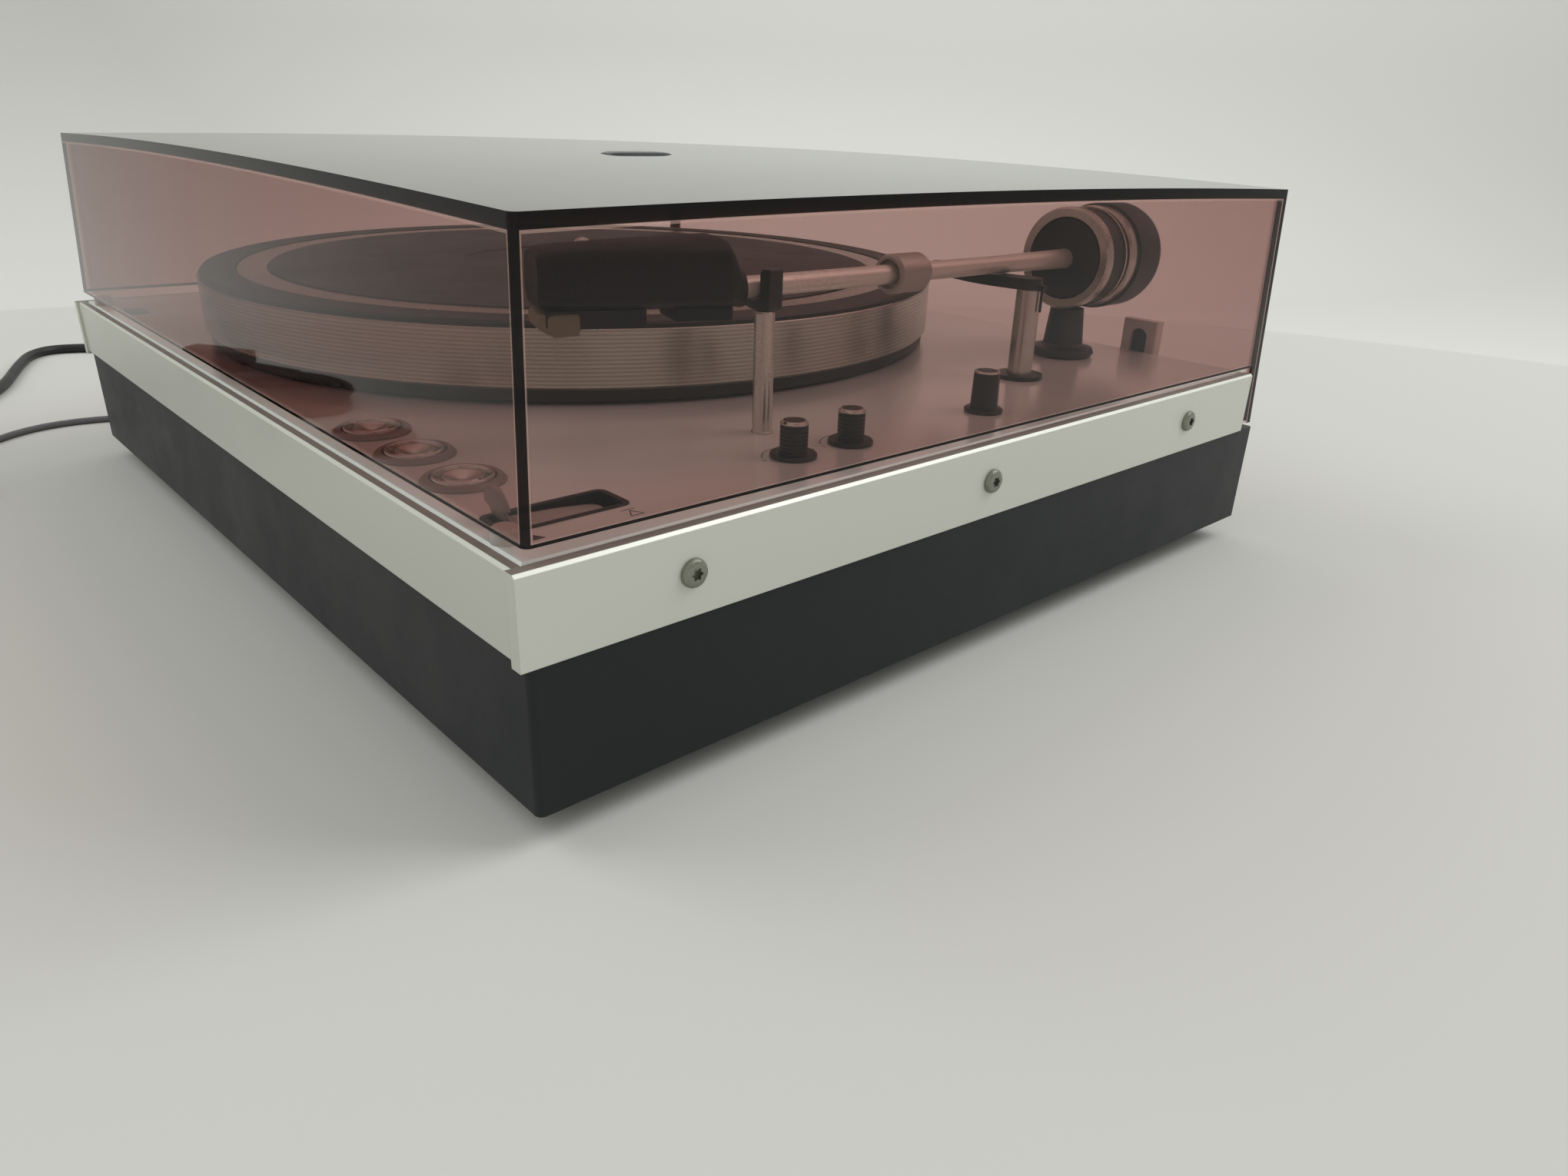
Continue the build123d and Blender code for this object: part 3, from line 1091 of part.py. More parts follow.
def make_rest_clip():
    """A cradle under the tube and an upright wall on its outer side, open towards the platter."""
    tube_x = arm_point(REST_FORWARD).X
    y = from_front(REST_FROM_FRONT)
    top = tube_bottom(REST_FORWARD) - CRADLE_GAP
    wall_in = tube_x + TUBE_R + CRADLE_GAP
    wall_top = top + 2 * TUBE_R + CLIP_RISE / 2
    half = CLIP_LENGTH / 2
    cradle = block(tube_x - CLIP_REACH, wall_in + CLIP_WALL, y - half, y + half, top - CLIP_CRADLE, top)
    wall = block(wall_in, wall_in + CLIP_WALL, y - half, y + half, top - CLIP_CRADLE, wall_top)
    clip = cradle + wall
    tip = clip.edges().filter_by(Axis.Y).sort_by(Axis.X)[:2].sort_by(Axis.Z)[0]
    return chamfer(tip, CLIP_CRADLE / 2)


def lift_reach():
    return math.hypot(LIFT_ASIDE, LIFT_FORWARD)


def wing_top():
    return tube_bottom(lift_reach()) - CRADLE_GAP


def make_lift_column():
    low = DECK_SEAT - LIFT_BELOW + DECK
    return rod(LIFT_X, from_front(LIFT_FROM_FRONT), low, wing_top() - WING, LIFT_R)


def make_lift_bush():
    x, y = LIFT_X, from_front(LIFT_FROM_FRONT)
    bush = tube(x, y, DECK_Z, DECK_Z + LIFT_BUSH, LIFT_BUSH_R, LIFT_R + RUN_GAP)
    return bush + tube(x, y, DECK_SEAT, DECK_Z + RUN_GAP, LIFT_R + LIFT_BUSH_WALL - RUN_GAP, LIFT_R + RUN_GAP)


def make_lift_wing():
    """A curved bar round the pivot that the tube lies on wherever the arm stands."""
    radius = lift_reach()
    start = FORWARD_ANGLE + math.degrees(math.atan2(LIFT_ASIDE, LIFT_FORWARD))
    tip = FORWARD_ANGLE - WING_TIP
    outer = radius + WING_HALF
    inner = radius - WING_HALF
    edge_out = CenterArc((0.0, 0.0), outer, tip, start - tip)
    edge_in = CenterArc((0.0, 0.0), inner, tip, start - tip)
    face = make_face([edge_out, edge_in, Line(edge_out @ 0, edge_in @ 0), Line(edge_out @ 1, edge_in @ 1)])
    bar = extrude(Pos(PIVOT_X, from_front(PIVOT_FROM_FRONT), wing_top() - WING) * face, WING)
    tip_edge = bar.faces().sort_by(Axis.Z)[0].edges().filter_by(GeomType.LINE).sort_by(Axis.X)[0]
    bar = chamfer(tip_edge, WING / 2)
    x, y = LIFT_X, from_front(LIFT_FROM_FRONT)
    pin = rod(x + GUIDE_PIN_ASIDE, y, wing_top() - WING - GUIDE_PIN, wing_top() - WING / 2, GUIDE_PIN_R)
    ear = block(x, x + GUIDE_PIN_ASIDE + 2 * GUIDE_PIN_R, y - 2 * GUIDE_PIN_R, y + 2 * GUIDE_PIN_R,
                wing_top() - WING, wing_top() - WING / 2)
    return bar + rod(x, y, wing_top() - WING, wing_top(), LIFT_R) + ear + pin


def lid_shell(grow, low, high):
    """The lid's drafted form between two heights, grow inside its outer faces."""
    def outline(z):
        share = (z - SKIRT_Z) / (LID_EDGE_Z - SKIRT_Z)
        half = LID_HALF_LOW + (LID_HALF_HIGH - LID_HALF_LOW) * share - grow
        front = LID_FRONT_LOW + (LID_FRONT_HIGH - LID_FRONT_LOW) * share + grow
        back = LID_BACK - grow
        plan = RectangleRounded(2 * half, back - front, LID_CORNER)
        return Pos(0.0, from_front((front + back) / 2), z) * plan
    return loft([outline(low), outline(high)], ruled=True)


def crown_ball(drop):
    middle = from_front((LID_FRONT_HIGH + LID_BACK) / 2)
    return Pos(0.0, middle, LID_EDGE_Z + LID_CROWN - drop - LID_CROWN_R) * Sphere(LID_CROWN_R)


def lid_low():
    return DECK_Z + LID_RISE


def make_lid():
    over = LID_EDGE_Z + 2 * LID_CROWN
    outside = lid_shell(0.0, SKIRT_Z, over) & crown_ball(0.0)
    inside = lid_shell(LID_WALL, SKIRT_Z - CUT, over) & crown_ball(LID_TOP)
    lid = outside - inside
    lid -= block(-WIDTH, WIDTH, -DEPTH, from_front(SKIRT_FRONT), SKIRT_Z - CUT, lid_low())
    for sign in (-1, 1):
        half = HINGE_ARM_WIDTH / 2 + EAR_GAP + EAR + NOTCH_GAP
        lid -= block(sign * HINGE_X - half, sign * HINGE_X + half,
                     from_front(SKIRT_FRONT), from_front(DEPTH + WALL),
                     SKIRT_Z - CUT, NOTCH_Z)
    return lid_pose(lid)


def make_lid_buffers():
    top = lid_low() + (HINGE_FROM_FRONT - BUFFER_FROM_FRONT) * math.sin(math.radians(LID_TILT)) - SEAT_GAP
    points = [(0.0, DECK_Z), (BUFFER_R, DECK_Z), (BUFFER_R, top - EDGE), (BUFFER_R - EDGE, top), (0.0, top)]
    return Compound([turned(points, sign * BUFFER_X, from_front(BUFFER_FROM_FRONT)) for sign in (-1, 1)])


def hinge_frame(sign):
    return Pos(sign * HINGE_X, from_front(HINGE_FROM_FRONT), SHELF_Z + HINGE_RISE)


def make_hinge_block(sign):
    """Two ears on a foot that stands on the shelf, with the pin between them."""
    reach = HINGE_ARM_WIDTH / 2 + EAR_GAP
    half_depth = HINGE_EYE_R + EDGE / 2
    ears = None
    for side in (-1, 1):
        ear = Rot(0.0, 90.0, 0.0) * Cylinder(half_depth, EAR)
        ear += Pos(0.0, 0.0, -HINGE_RISE / 2) * Box(EAR, 2 * half_depth, HINGE_RISE)
        ear = Pos(side * (reach + EAR / 2), 0.0, 0.0) * ear
        ears = ear if ears is None else ears + ear
    foot = Pos(0.0, 0.0, -HINGE_RISE) * Box(2 * (reach + EAR), 2 * half_depth, BLOCK_BASE, align=BOTTOM)
    pin = Rot(0.0, 90.0, 0.0) * Cylinder(HINGE_PIN_R, 2 * reach + EAR)
    return hinge_frame(sign) * (ears + foot + pin)


def socket_back():
    """Inner face of the lid's back wall."""
    return LID_BACK - LID_WALL


def make_hinge_arm(sign):
    """An eye round the pin and a flat arm with an arched top that slides up into the socket."""
    eye = Rot(0.0, 90.0, 0.0) * Cylinder(HINGE_EYE_R, HINGE_ARM_WIDTH)
    back = socket_back() - HINGE_FROM_FRONT - SOCKET_WALL
    rise = HINGE_ARM_TOP - SHELF_Z - HINGE_RISE
    half = HINGE_ARM_WIDTH / 2
    leaf = block(-half, half, back - HINGE_ARM, back, 0.0, rise - half)
    arch = Pos(0.0, back - HINGE_ARM / 2, rise - half) * Rot(90.0, 0.0, 0.0) * Cylinder(half, HINGE_ARM)
    bore = Rot(0.0, 90.0, 0.0) * Cylinder(HINGE_PIN_R + RUN_GAP, 2 * HINGE_ARM_WIDTH)
    return lid_pose(hinge_frame(sign) * (eye + leaf + arch - bore))


def make_hinge_socket(sign):
    """A bright square cover on the lid's back wall, with an arched window on the arm."""
    back = from_front(socket_back())
    front = back - 2 * SOCKET_WALL - HINGE_ARM - 2 * SEAT_GAP
    half = SOCKET_WIDTH / 2
    x = sign * HINGE_X
    top = SOCKET_LOW + SOCKET_HEIGHT
    cover = block(x - half, x + half, front, back, SOCKET_LOW, top)
    cover = fillet(cover.faces().sort_by(Axis.Y)[0].edges(), EDGE)
    inner = HINGE_ARM_WIDTH / 2 + SEAT_GAP
    cover -= block(x - inner, x + inner, front + SOCKET_WALL, back - SOCKET_WALL + SEAT_GAP,
                   SOCKET_LOW - CUT, top - SOCKET_WALL)
    slot_half = WINDOW_WIDTH / 2
    window = block(x - slot_half, x + slot_half, front - CUT, front + 2 * SOCKET_WALL, SOCKET_LOW - CUT,
                   SOCKET_LOW + SOCKET_SLOT_HEIGHT - slot_half)
    arch = Pos(x, front, SOCKET_LOW + SOCKET_SLOT_HEIGHT - slot_half) * Rot(90.0, 0.0, 0.0)
    window += arch * Cylinder(slot_half, 2 * SOCKET_WALL + CUT)
    return lid_pose(cover - window)


def make_gland(x, cord_r):
    """A cord grip: neck through the back wall, flange and a tapered sleeve."""
    wall = WALL
    tip_r = cord_r + EDGE
    end = wall + GLAND_FLANGE + GLAND_SLEEVE
    points = [(0.0, -GLAND_INSIDE), (GLAND_NECK_R, -GLAND_INSIDE), (GLAND_NECK_R, wall),
              (GLAND_FLANGE_R, wall), (GLAND_FLANGE_R, wall + GLAND_FLANGE),
              (GLAND_NECK_R, wall + GLAND_FLANGE), (tip_r, end), (0.0, end)]
    return Pos(x, from_front(DEPTH) - wall, CORD_EXIT_Z) * Rot(-90.0, 0.0, 0.0) * turned(points)


def bend_radii(points):
    """Each corner's radius: 0.45 of its shorter run over the tangent of half the turn."""
    radii = []
    for before, here, after in zip(points, points[1:], points[2:]):
        first, second = Vector(*here) - Vector(*before), Vector(*after) - Vector(*here)
        half_turn = math.radians(first.get_angle(second)) / 2
        radii.append(RUN_SHARE * min(first.length, second.length) / math.tan(half_turn))
    return radii


def sweep_round(name, path, radius):
    section = Plane(origin=path @ 0, z_dir=path % 0) * Circle(radius)
    solid = sweep(section, path=path)
    print(name, "length", round(path.length, 1), "volume ratio",
          round(solid.volume / (math.pi * radius * radius * path.length), 4))
    return solid


def make_cord(name, points, radius):
    radii = bend_radii(points)
    print(name, "radii", [round(value, 1) for value in radii])
    return sweep_round(name, FilletPolyline(*points, radius=radii), radius)


def coil_sizes(radius):
    """Pitch between loops and the reach of the outermost one."""
    pitch = 2 * radius * COIL_PITCH_SHARE
    return pitch, 2 * radius * COIL_MEAN_SHARE + pitch * COIL_TURNS / 2


def coil_frame(points, side):
    """Frame at the coil's start: X along the incoming cord, Y towards the coil's middle."""
    way = Vector(*points[-1]) - Vector(*points[-2])
    way = Vector(way.X, way.Y, 0.0).normalized()
    return Vector(*points[-1]), way, Vector(-way.Y, way.X, 0.0) * side


def coil_place(radius, turn):
    """Place on the coil after some turns: in over the lower layer, out over the upper."""
    pitch, outer = coil_sizes(radius)
    inner = outer - pitch * COIL_TURNS
    climbed = COIL_TURNS + 0.5
    if turn <= COIL_TURNS:
        reach, height = outer - pitch * turn, 0.0
    elif turn <= climbed:
        share = (turn - COIL_TURNS) / (climbed - COIL_TURNS)
        reach, height = inner, pitch * (share - math.sin(2 * math.pi * share) / (2 * math.pi))
    else:
        reach, height = inner + pitch * (turn - climbed), pitch
    angle = 2 * math.pi * turn
    return reach * math.sin(angle), outer - reach * math.cos(angle), height


def coil_knots(radius, points, side):
    """Places and directions at every quarter turn, in the part's frame."""
    start, along, across = coil_frame(points, side)

    def at(turn):
        x, y, z = coil_place(radius, turn)
        return start + along * x + across * y + Vector(0.0, 0.0, z)
    last = 2 * COIL_TURNS + 0.5
    knots = []
    for index in range(round(4 * last) + 1):
        turn = index / 4
        ahead, behind = at(min(turn + COIL_STEP, last)), at(max(turn - COIL_STEP, 0.0))
        knots.append((at(turn), (ahead - behind).normalized()))
    knots[0], knots[-1] = (knots[0][0], along), (knots[-1][0], along * -1)
    return knots


def biarc(start, start_way, end, end_way):
    """Two arcs that leave start and reach end along the given directions."""
    gap = end - start
    both = start_way + end_way
    share = 2 * (1 - start_way.dot(end_way))
    along = gap.dot(both)
    reach = (math.sqrt(along * along + share * gap.dot(gap)) - along) / share
    first, second = start + start_way * reach, end - end_way * reach
    middle, way = (first + second) / 2, (second - first).normalized()
    return [TangentArc(start, middle, tangent=start_way), TangentArc(middle, end, tangent=way)]


def make_coil(name, points, radius, side):
    """One unbroken tube of piled loops with a straight run of one diameter at each end."""
    knots = coil_knots(radius, points, side)
    (first, first_way), (last, last_way) = knots[0], knots[-1]
    edges = [Line(first - first_way * 2 * radius, first)]
    for (here, way), (there, there_way) in zip(knots, knots[1:]):
        edges += biarc(here, way, there, there_way)
    edges.append(Line(last, last + last_way * 2 * radius))
    path = Wire(edges)
    samples = [path @ (index / COIL_SAMPLES) for index in range(COIL_SAMPLES + 1)]
    skip = math.ceil(COIL_SAMPLES * 6 * radius / path.length)
    least = min((a - b).length for i, a in enumerate(samples) for b in samples[i + skip:])
    print(name, "least gap", round(least - 2 * radius, 2))
    return sweep_round(name, path, radius)


def coil_ends(radius, points, side):
    """Where the cord meets the coil, and where the plug does, with the way out there."""
    knots = coil_knots(radius, points, side)
    (first, first_way), (last, last_way) = knots[0], knots[-1]
    return first - first_way * 2 * radius, last + last_way * 2 * radius, last_way


def make_tie(radius, points, side):
    """A band round the bundle, three quarters of a turn on from its start."""
    start, along, across = coil_frame(points, side)
    pitch, outer = coil_sizes(radius)
    reach = outer - pitch * (TIE_TURN + (COIL_TURNS - 1) / 2)
    half = pitch * (COIL_TURNS - 1) / 2 + radius + SEAT_GAP
    high = pitch / 2 + radius + SEAT_GAP
    centre = start - along * reach + across * outer + Vector(0.0, 0.0, pitch / 2)
    outside = Box(2 * half + 2 * TIE_THICK, TIE_WIDTH, 2 * high + 2 * TIE_THICK)
    inside = Box(2 * half, 2 * TIE_WIDTH, 2 * high)
    return Plane(origin=centre, x_dir=along, z_dir=(0.0, 0.0, 1.0)) * (outside - inside)


def plug_frame(radius, points, side):
    _, place, way = coil_ends(radius, points, side)
    return Plane(origin=place, x_dir=(0.0, 0.0, 1.0), z_dir=way), place.Z


def make_mains_plug(points, side):
    """A moulded plug with a long sleeve and two round pins, flat on the floor."""
    frame, height = plug_frame(MAINS_R, points, side)
    sleeve = Cone(MAINS_R + EDGE, 2 * MAINS_R, MAINS_SLEEVE, align=BOTTOM)
    body = extrude(RectangleRounded(2 * height, MAINS_PLUG_WIDTH, height / 2), MAINS_PLUG_LENGTH)
    body = Pos(0.0, 0.0, MAINS_SLEEVE) * body
    pins = [Pos(0.0, sign * PLUG_PIN_PITCH / 2, MAINS_SLEEVE + MAINS_PLUG_LENGTH)
            * Cylinder(PLUG_PIN_R, PLUG_PIN_LENGTH, align=BOTTOM) for sign in (-1, 1)]
    return frame * (sleeve + body + pins[0] + pins[1])


def make_signal_plugs(points, side):
    """The twin lead's joint and its two round plugs side by side."""
    frame, height = plug_frame(SIGNAL_R, points, side)
    plugs = Cylinder(SIGNAL_R + EDGE, SIGNAL_SLEEVE, align=BOTTOM)
    plugs += Pos(0.0, 0.0, SIGNAL_SLEEVE) * Box(height, 4 * height, SIGNAL_JOINT, align=BOTTOM)
    for sign in (-1, 1):
        place = Pos(0.0, sign * (height + SEAT_GAP), SIGNAL_SLEEVE + SIGNAL_JOINT)
        plugs += place * Cylinder(height, SIGNAL_PLUG_LENGTH, align=BOTTOM)
        end = place * Pos(0.0, 0.0, SIGNAL_PLUG_LENGTH)
        plugs += end * (Cylinder(height - EDGE, SIGNAL_CUP_LENGTH, align=BOTTOM)
                        - Cylinder(height - 2 * EDGE, SIGNAL_CUP_LENGTH, align=BOTTOM))
        plugs += end * Cylinder(SIGNAL_PIN_R, SIGNAL_PIN_LENGTH, align=BOTTOM)
    return frame * plugs


def make_cords():
    """The black mains cord and the thin grey signal lead, each with its coil, tie and plug."""
    leads = (("mains", MAINS_POINTS, MAINS_R, MAINS_SIDE, make_mains_plug),
             ("signal", SIGNAL_POINTS, SIGNAL_R, SIGNAL_SIDE, make_signal_plugs))
    for name, points, radius, side, plug in leads:
        joint = coil_ends(radius, points, side)[0]
        PARTS[name + "_cord"] = make_cord(name + "_cord", points[:-1] + [tuple(joint)], radius)
        PARTS[name + "_coil"] = make_coil(name + "_coil", points, radius, side)
        PARTS[name + "_plug"] = plug(points, side)
    PARTS["cord_ties"] = Compound([make_tie(MAINS_R, MAINS_POINTS, MAINS_SIDE),
                                   make_tie(SIGNAL_R, SIGNAL_POINTS, SIGNAL_SIDE)])
    PARTS["cord_glands"] = Compound([make_gland(MAINS_X, MAINS_R), make_gland(SIGNAL_X, SIGNAL_R)])


def main():
    PARTS["plinth"] = make_plinth()
    PARTS["bottom_cover"] = make_bottom_cover()
    PARTS["feet"] = Compound([make_foot(*place) for place in foot_places()])
    PARTS["bottom_screws"] = make_bottom_screws()
    PARTS["front_strip"] = make_front_strip()
    PARTS["side_strips"] = Compound([make_side_strip(-1), make_side_strip(1)])
    PARTS["strip_screws"] = make_strip_screws()
    PARTS["deck_plate"] = make_deck()
    PARTS["cue_tray"] = make_cue_tray()
    PARTS["cue_lever"] = make_cue_lever()
    for name, x in zip(("speed_button_left", "speed_button_middle", "speed_button_right"), BUTTON_X):
        PARTS[name] = make_button(x)
    PARTS["button_gaiters"] = make_button_gaiters()
    for name, y in zip(("speed_knob_front", "speed_knob_back"), PITCH_KNOBS_FROM_FRONT):
        PARTS[name] = make_knob(y, KNOB_FLANGE_R, KNOB_R, KNOB_HEIGHT, 0.0, KNOB_RIBS)
    PARTS["anti_skating_knob"] = make_knob(SKATE_KNOB_FROM_FRONT, SKATE_FLANGE_R, SKATE_R, SKATE_HEIGHT,
                                           SKATE_DRAFT, 0)
    PARTS["circuit_boards"] = Compound([make_control_board(), make_speed_board()])
    PARTS["chassis_plate"] = make_chassis()
    PARTS["deck_spacers"] = Compound(make_chassis_spacers() + make_board_spacers())
    PARTS["spindle_bearing"] = make_bearing()
    PARTS["spindle"] = make_spindle()
    PARTS["sub_platter"] = make_sub_platter()
    PARTS["platter"] = make_platter()
    PARTS["mats"] = Compound([make_mat(), make_mat_ring()])
    PARTS["motor"] = make_motor()
    PARTS["motor_bushes"] = make_motor_bushes()
    PARTS["motor_pulley"] = make_pulley()
    PARTS["drive_belt"] = make_belt()
    PARTS["transformer"] = make_transformer()
    PARTS["arm_pillar"] = make_pillar()
    PARTS["arm_housing"] = make_housing()
    PARTS["housing_rings"] = make_housing_rings()
    PARTS["arm_hub"] = make_arm_hub()
    PARTS["arm_tube"] = make_arm_tube()
    PARTS["tracking_weight"] = make_force_weight()
    PARTS["counterweight"] = make_counterweight()
    PARTS["counterweight_ring"] = make_counterweight_ring()
    PARTS["headshell"] = make_headshell()
    PARTS["cartridge"] = make_cartridge()
    PARTS["stylus_guard"] = make_stylus_guard()
    PARTS["stylus"] = make_stylus()
    PARTS["rest_post"] = make_rest_post()
    PARTS["rest_clip"] = make_rest_clip()
    PARTS["lift_column"] = make_lift_column()
    PARTS["lift_bush"] = make_lift_bush()
    PARTS["lift_wing"] = make_lift_wing()
    PARTS["lid"] = make_lid()
    PARTS["lid_buffers"] = make_lid_buffers()
    for name, maker in (("hinge_block", make_hinge_block), ("hinge_arm", make_hinge_arm),
                        ("hinge_socket", make_hinge_socket)):
        PARTS[name + "s"] = Compound([maker(-1), maker(1)])
    make_cords()
    os.makedirs("parts", exist_ok=True)
    for name, shape in PARTS.items():
        export_step(shape, os.path.join("parts", name + ".step"))
    print(len(PARTS), "nodes")


main()
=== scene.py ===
# %% [markdown]
# # A belt-drive turntable under a tinted lid
#
# This script dresses a finished CAD model: the solids keep their shapes and places, and Blender gives
# them light, finishes and the small trim that is too fine for the CAD. A reader who is learning
# Blender can run it cell by cell. Lengths are in metres, and a size in millimetres is multiplied by MM.

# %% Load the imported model
import math

import bmesh
import bpy
import numpy as np
from mathutils import Matrix


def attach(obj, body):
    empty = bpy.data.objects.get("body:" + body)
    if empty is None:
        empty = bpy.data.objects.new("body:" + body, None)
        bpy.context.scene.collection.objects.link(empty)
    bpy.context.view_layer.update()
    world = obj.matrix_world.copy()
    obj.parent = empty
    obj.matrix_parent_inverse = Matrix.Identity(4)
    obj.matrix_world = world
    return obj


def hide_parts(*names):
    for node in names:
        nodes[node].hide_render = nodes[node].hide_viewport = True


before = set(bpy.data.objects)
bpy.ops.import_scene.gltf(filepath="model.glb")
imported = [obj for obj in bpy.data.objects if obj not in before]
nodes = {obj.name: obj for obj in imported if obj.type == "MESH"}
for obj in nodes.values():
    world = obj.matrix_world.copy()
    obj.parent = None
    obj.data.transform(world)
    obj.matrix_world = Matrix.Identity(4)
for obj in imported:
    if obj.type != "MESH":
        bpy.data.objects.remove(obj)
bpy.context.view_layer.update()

MM = 0.001

# %% [markdown]
# ## The camera
#
# A camera is matched to a photograph by its place, its three axes and its focal length. Here the axes
# were worked out from the straight edges of the plinth and the lid, so they are written as vectors.
# The third axis, which points back at the eye, is the cross product of the other two.

# %% Camera at the photograph's viewing angle
CAMERA_PLACE = (0.37833, -0.26350, 0.15931)
CAMERA_RIGHT = np.array([0.672358, 0.739473, 0.033394])
CAMERA_UP = np.array([-0.323144, 0.252630, 0.912007])
CAMERA_LENS = 24.452

scene = bpy.context.scene
camera = bpy.data.objects.new("camera", bpy.data.cameras.new("camera"))
scene.collection.objects.link(camera)
camera.data.sensor_width, camera.data.sensor_fit = 36.0, "HORIZONTAL"
camera.data.lens = CAMERA_LENS
camera.data.clip_start, camera.data.clip_end = 0.01, 50.0
axes = np.eye(4)
axes[:3, 0], axes[:3, 1], axes[:3, 2] = CAMERA_RIGHT, CAMERA_UP, np.cross(CAMERA_RIGHT, CAMERA_UP)
axes[:3, 3] = CAMERA_PLACE
camera.matrix_world = Matrix(axes.tolist())
scene.camera = camera
print("focal length", CAMERA_LENS, "mm, eye", round(CAMERA_PLACE[2] / MM), "mm above the floor")

# %% [markdown]
# ## The two cords
#
# A cord is a fixed length of something flexible. It leaves its gland straight, comes down to the floor
# and wanders in loose curves, and what the picture doesn't show is wound into a neat coil. A NURBS
# spline is the right curve for this: it is pulled towards its control points without touching them, so
# a few points give one long smooth line, as a real sheath has. A polyline would show its corners.

# %% The routes' control points
MAINS_R, SIGNAL_R = 2.75, 1.55
TIE_LIFT = 1.1
MAINS_EXIT = (-104.0, 190.75, 24.0)
SIGNAL_EXIT = (-140.0, 190.75, 24.0)
mains_route = np.array([
    MAINS_EXIT, (-104.0, 224.0, 24.0), (-106.0, 272.0, MAINS_R), (-128.0, 318.0, MAINS_R),
    (-174.0, 352.0, MAINS_R), (-232.0, 362.0, MAINS_R), (-290.0, 346.0, MAINS_R), (-340.0, 308.0, MAINS_R),
    (-380.0, 256.0, MAINS_R), (-408.0, 194.0, MAINS_R), (-420.0, 126.0, MAINS_R), (-422.0, 56.0, MAINS_R),
    (-408.0, -2.0, MAINS_R), (-408.0, -60.0, MAINS_R), (-429.0, -106.0, MAINS_R), (-449.0, -138.5, MAINS_R),
    (-442.2, -156.8, MAINS_R), (-407.0, -170.0, MAINS_R), (-345.0, -188.0, MAINS_R),
    (-300.0, -219.0, MAINS_R + TIE_LIFT), (-266.0, -259.0, MAINS_R + TIE_LIFT)])
signal_route = np.array([
    SIGNAL_EXIT, (-140.0, 213.0, 24.0), (-146.0, 250.0, SIGNAL_R), (-170.0, 276.0, SIGNAL_R),
    (-212.0, 280.0, SIGNAL_R), (-244.0, 250.0, SIGNAL_R), (-258.0, 204.0, SIGNAL_R),
    (-254.0, 150.0, SIGNAL_R), (-246.0, 96.0, SIGNAL_R), (-248.0, 40.0, SIGNAL_R),
    (-240.0, -16.0, SIGNAL_R), (-246.0, -72.0, SIGNAL_R), (-247.0, -130.0, SIGNAL_R),
    (-263.0, -182.0, SIGNAL_R), (-230.9, -220.3, SIGNAL_R),
    (-212.0, -258.0, SIGNAL_R + TIE_LIFT), (-206.0, -296.0, SIGNAL_R + TIE_LIFT)])
print("control points:", len(mains_route), "and", len(signal_route))


# %% [markdown]
# ### The coils
#
# The coil goes on from the route's last point, in the direction of the last run. It winds inwards for
# two turns on the floor, climbs by one layer during half a turn, and winds outwards again on top.

# %% A coil's control points
COIL_STEPS = 24
PITCH_SHARE, OUTER_SHARE = 1.36, 5.6
TURNS_IN, CLIMB, TURNS_ALL = 2.0, 0.5, 4.5


def coil(route, side, radius):
    """Points at equal angles t, counted in turns. Along the last run the offset is reach * sin(2 pi t),
    across it outer - reach * cos(2 pi t). The reach falls by one pitch a turn for two turns, rests for
    half a turn while the height rises in a smooth step, and then grows by one pitch a turn again."""
    along = route[-1] - route[-2]
    along = along * (1, 1, 0) / np.hypot(along[0], along[1])
    across = side * np.array([-along[1], along[0], 0.0])
    pitch = 2 * radius * PITCH_SHARE
    outer = 2 * radius * OUTER_SHARE + pitch
    turn = ((np.arange(TURNS_ALL * COIL_STEPS) + 0.5) / COIL_STEPS)[:, None]
    rise = np.clip((turn - TURNS_IN) / CLIMB, 0, 1)
    height = pitch * (rise - np.sin(2 * np.pi * rise) / (2 * np.pi))
    reach = outer - pitch * np.clip(turn, 0, TURNS_IN) + pitch * np.clip(turn - TURNS_IN - CLIMB, 0, None)
    reach = reach / math.cos(math.pi / COIL_STEPS)
    turns = (route[-1] + along * reach * np.sin(2 * np.pi * turn)
             + across * (outer - reach * np.cos(2 * np.pi * turn)) + height * (0, 0, 1))
    end = route[-1] + across * 2 * outer + (0, 0, pitch) - along * 2 * radius
    return np.vstack([turns, end])


mains_points = np.vstack([mains_route, coil(mains_route, -1, MAINS_R)]) * MM
signal_points = np.vstack([signal_route, coil(signal_route, 1, SIGNAL_R)]) * MM
print("with the coils:", len(mains_points), "and", len(signal_points))


# %% [markdown]
# ### From curve to sheath
#
# A curve becomes a round sheath by its own bevel, with no profile object. The tube is made a mesh at
# once, because Blender grows a curve's box by its points' radius, which is 1 m unless it is set, and
# every other camera would stand much too far away. The line through the tube's middle is kept, to
# measure its length.

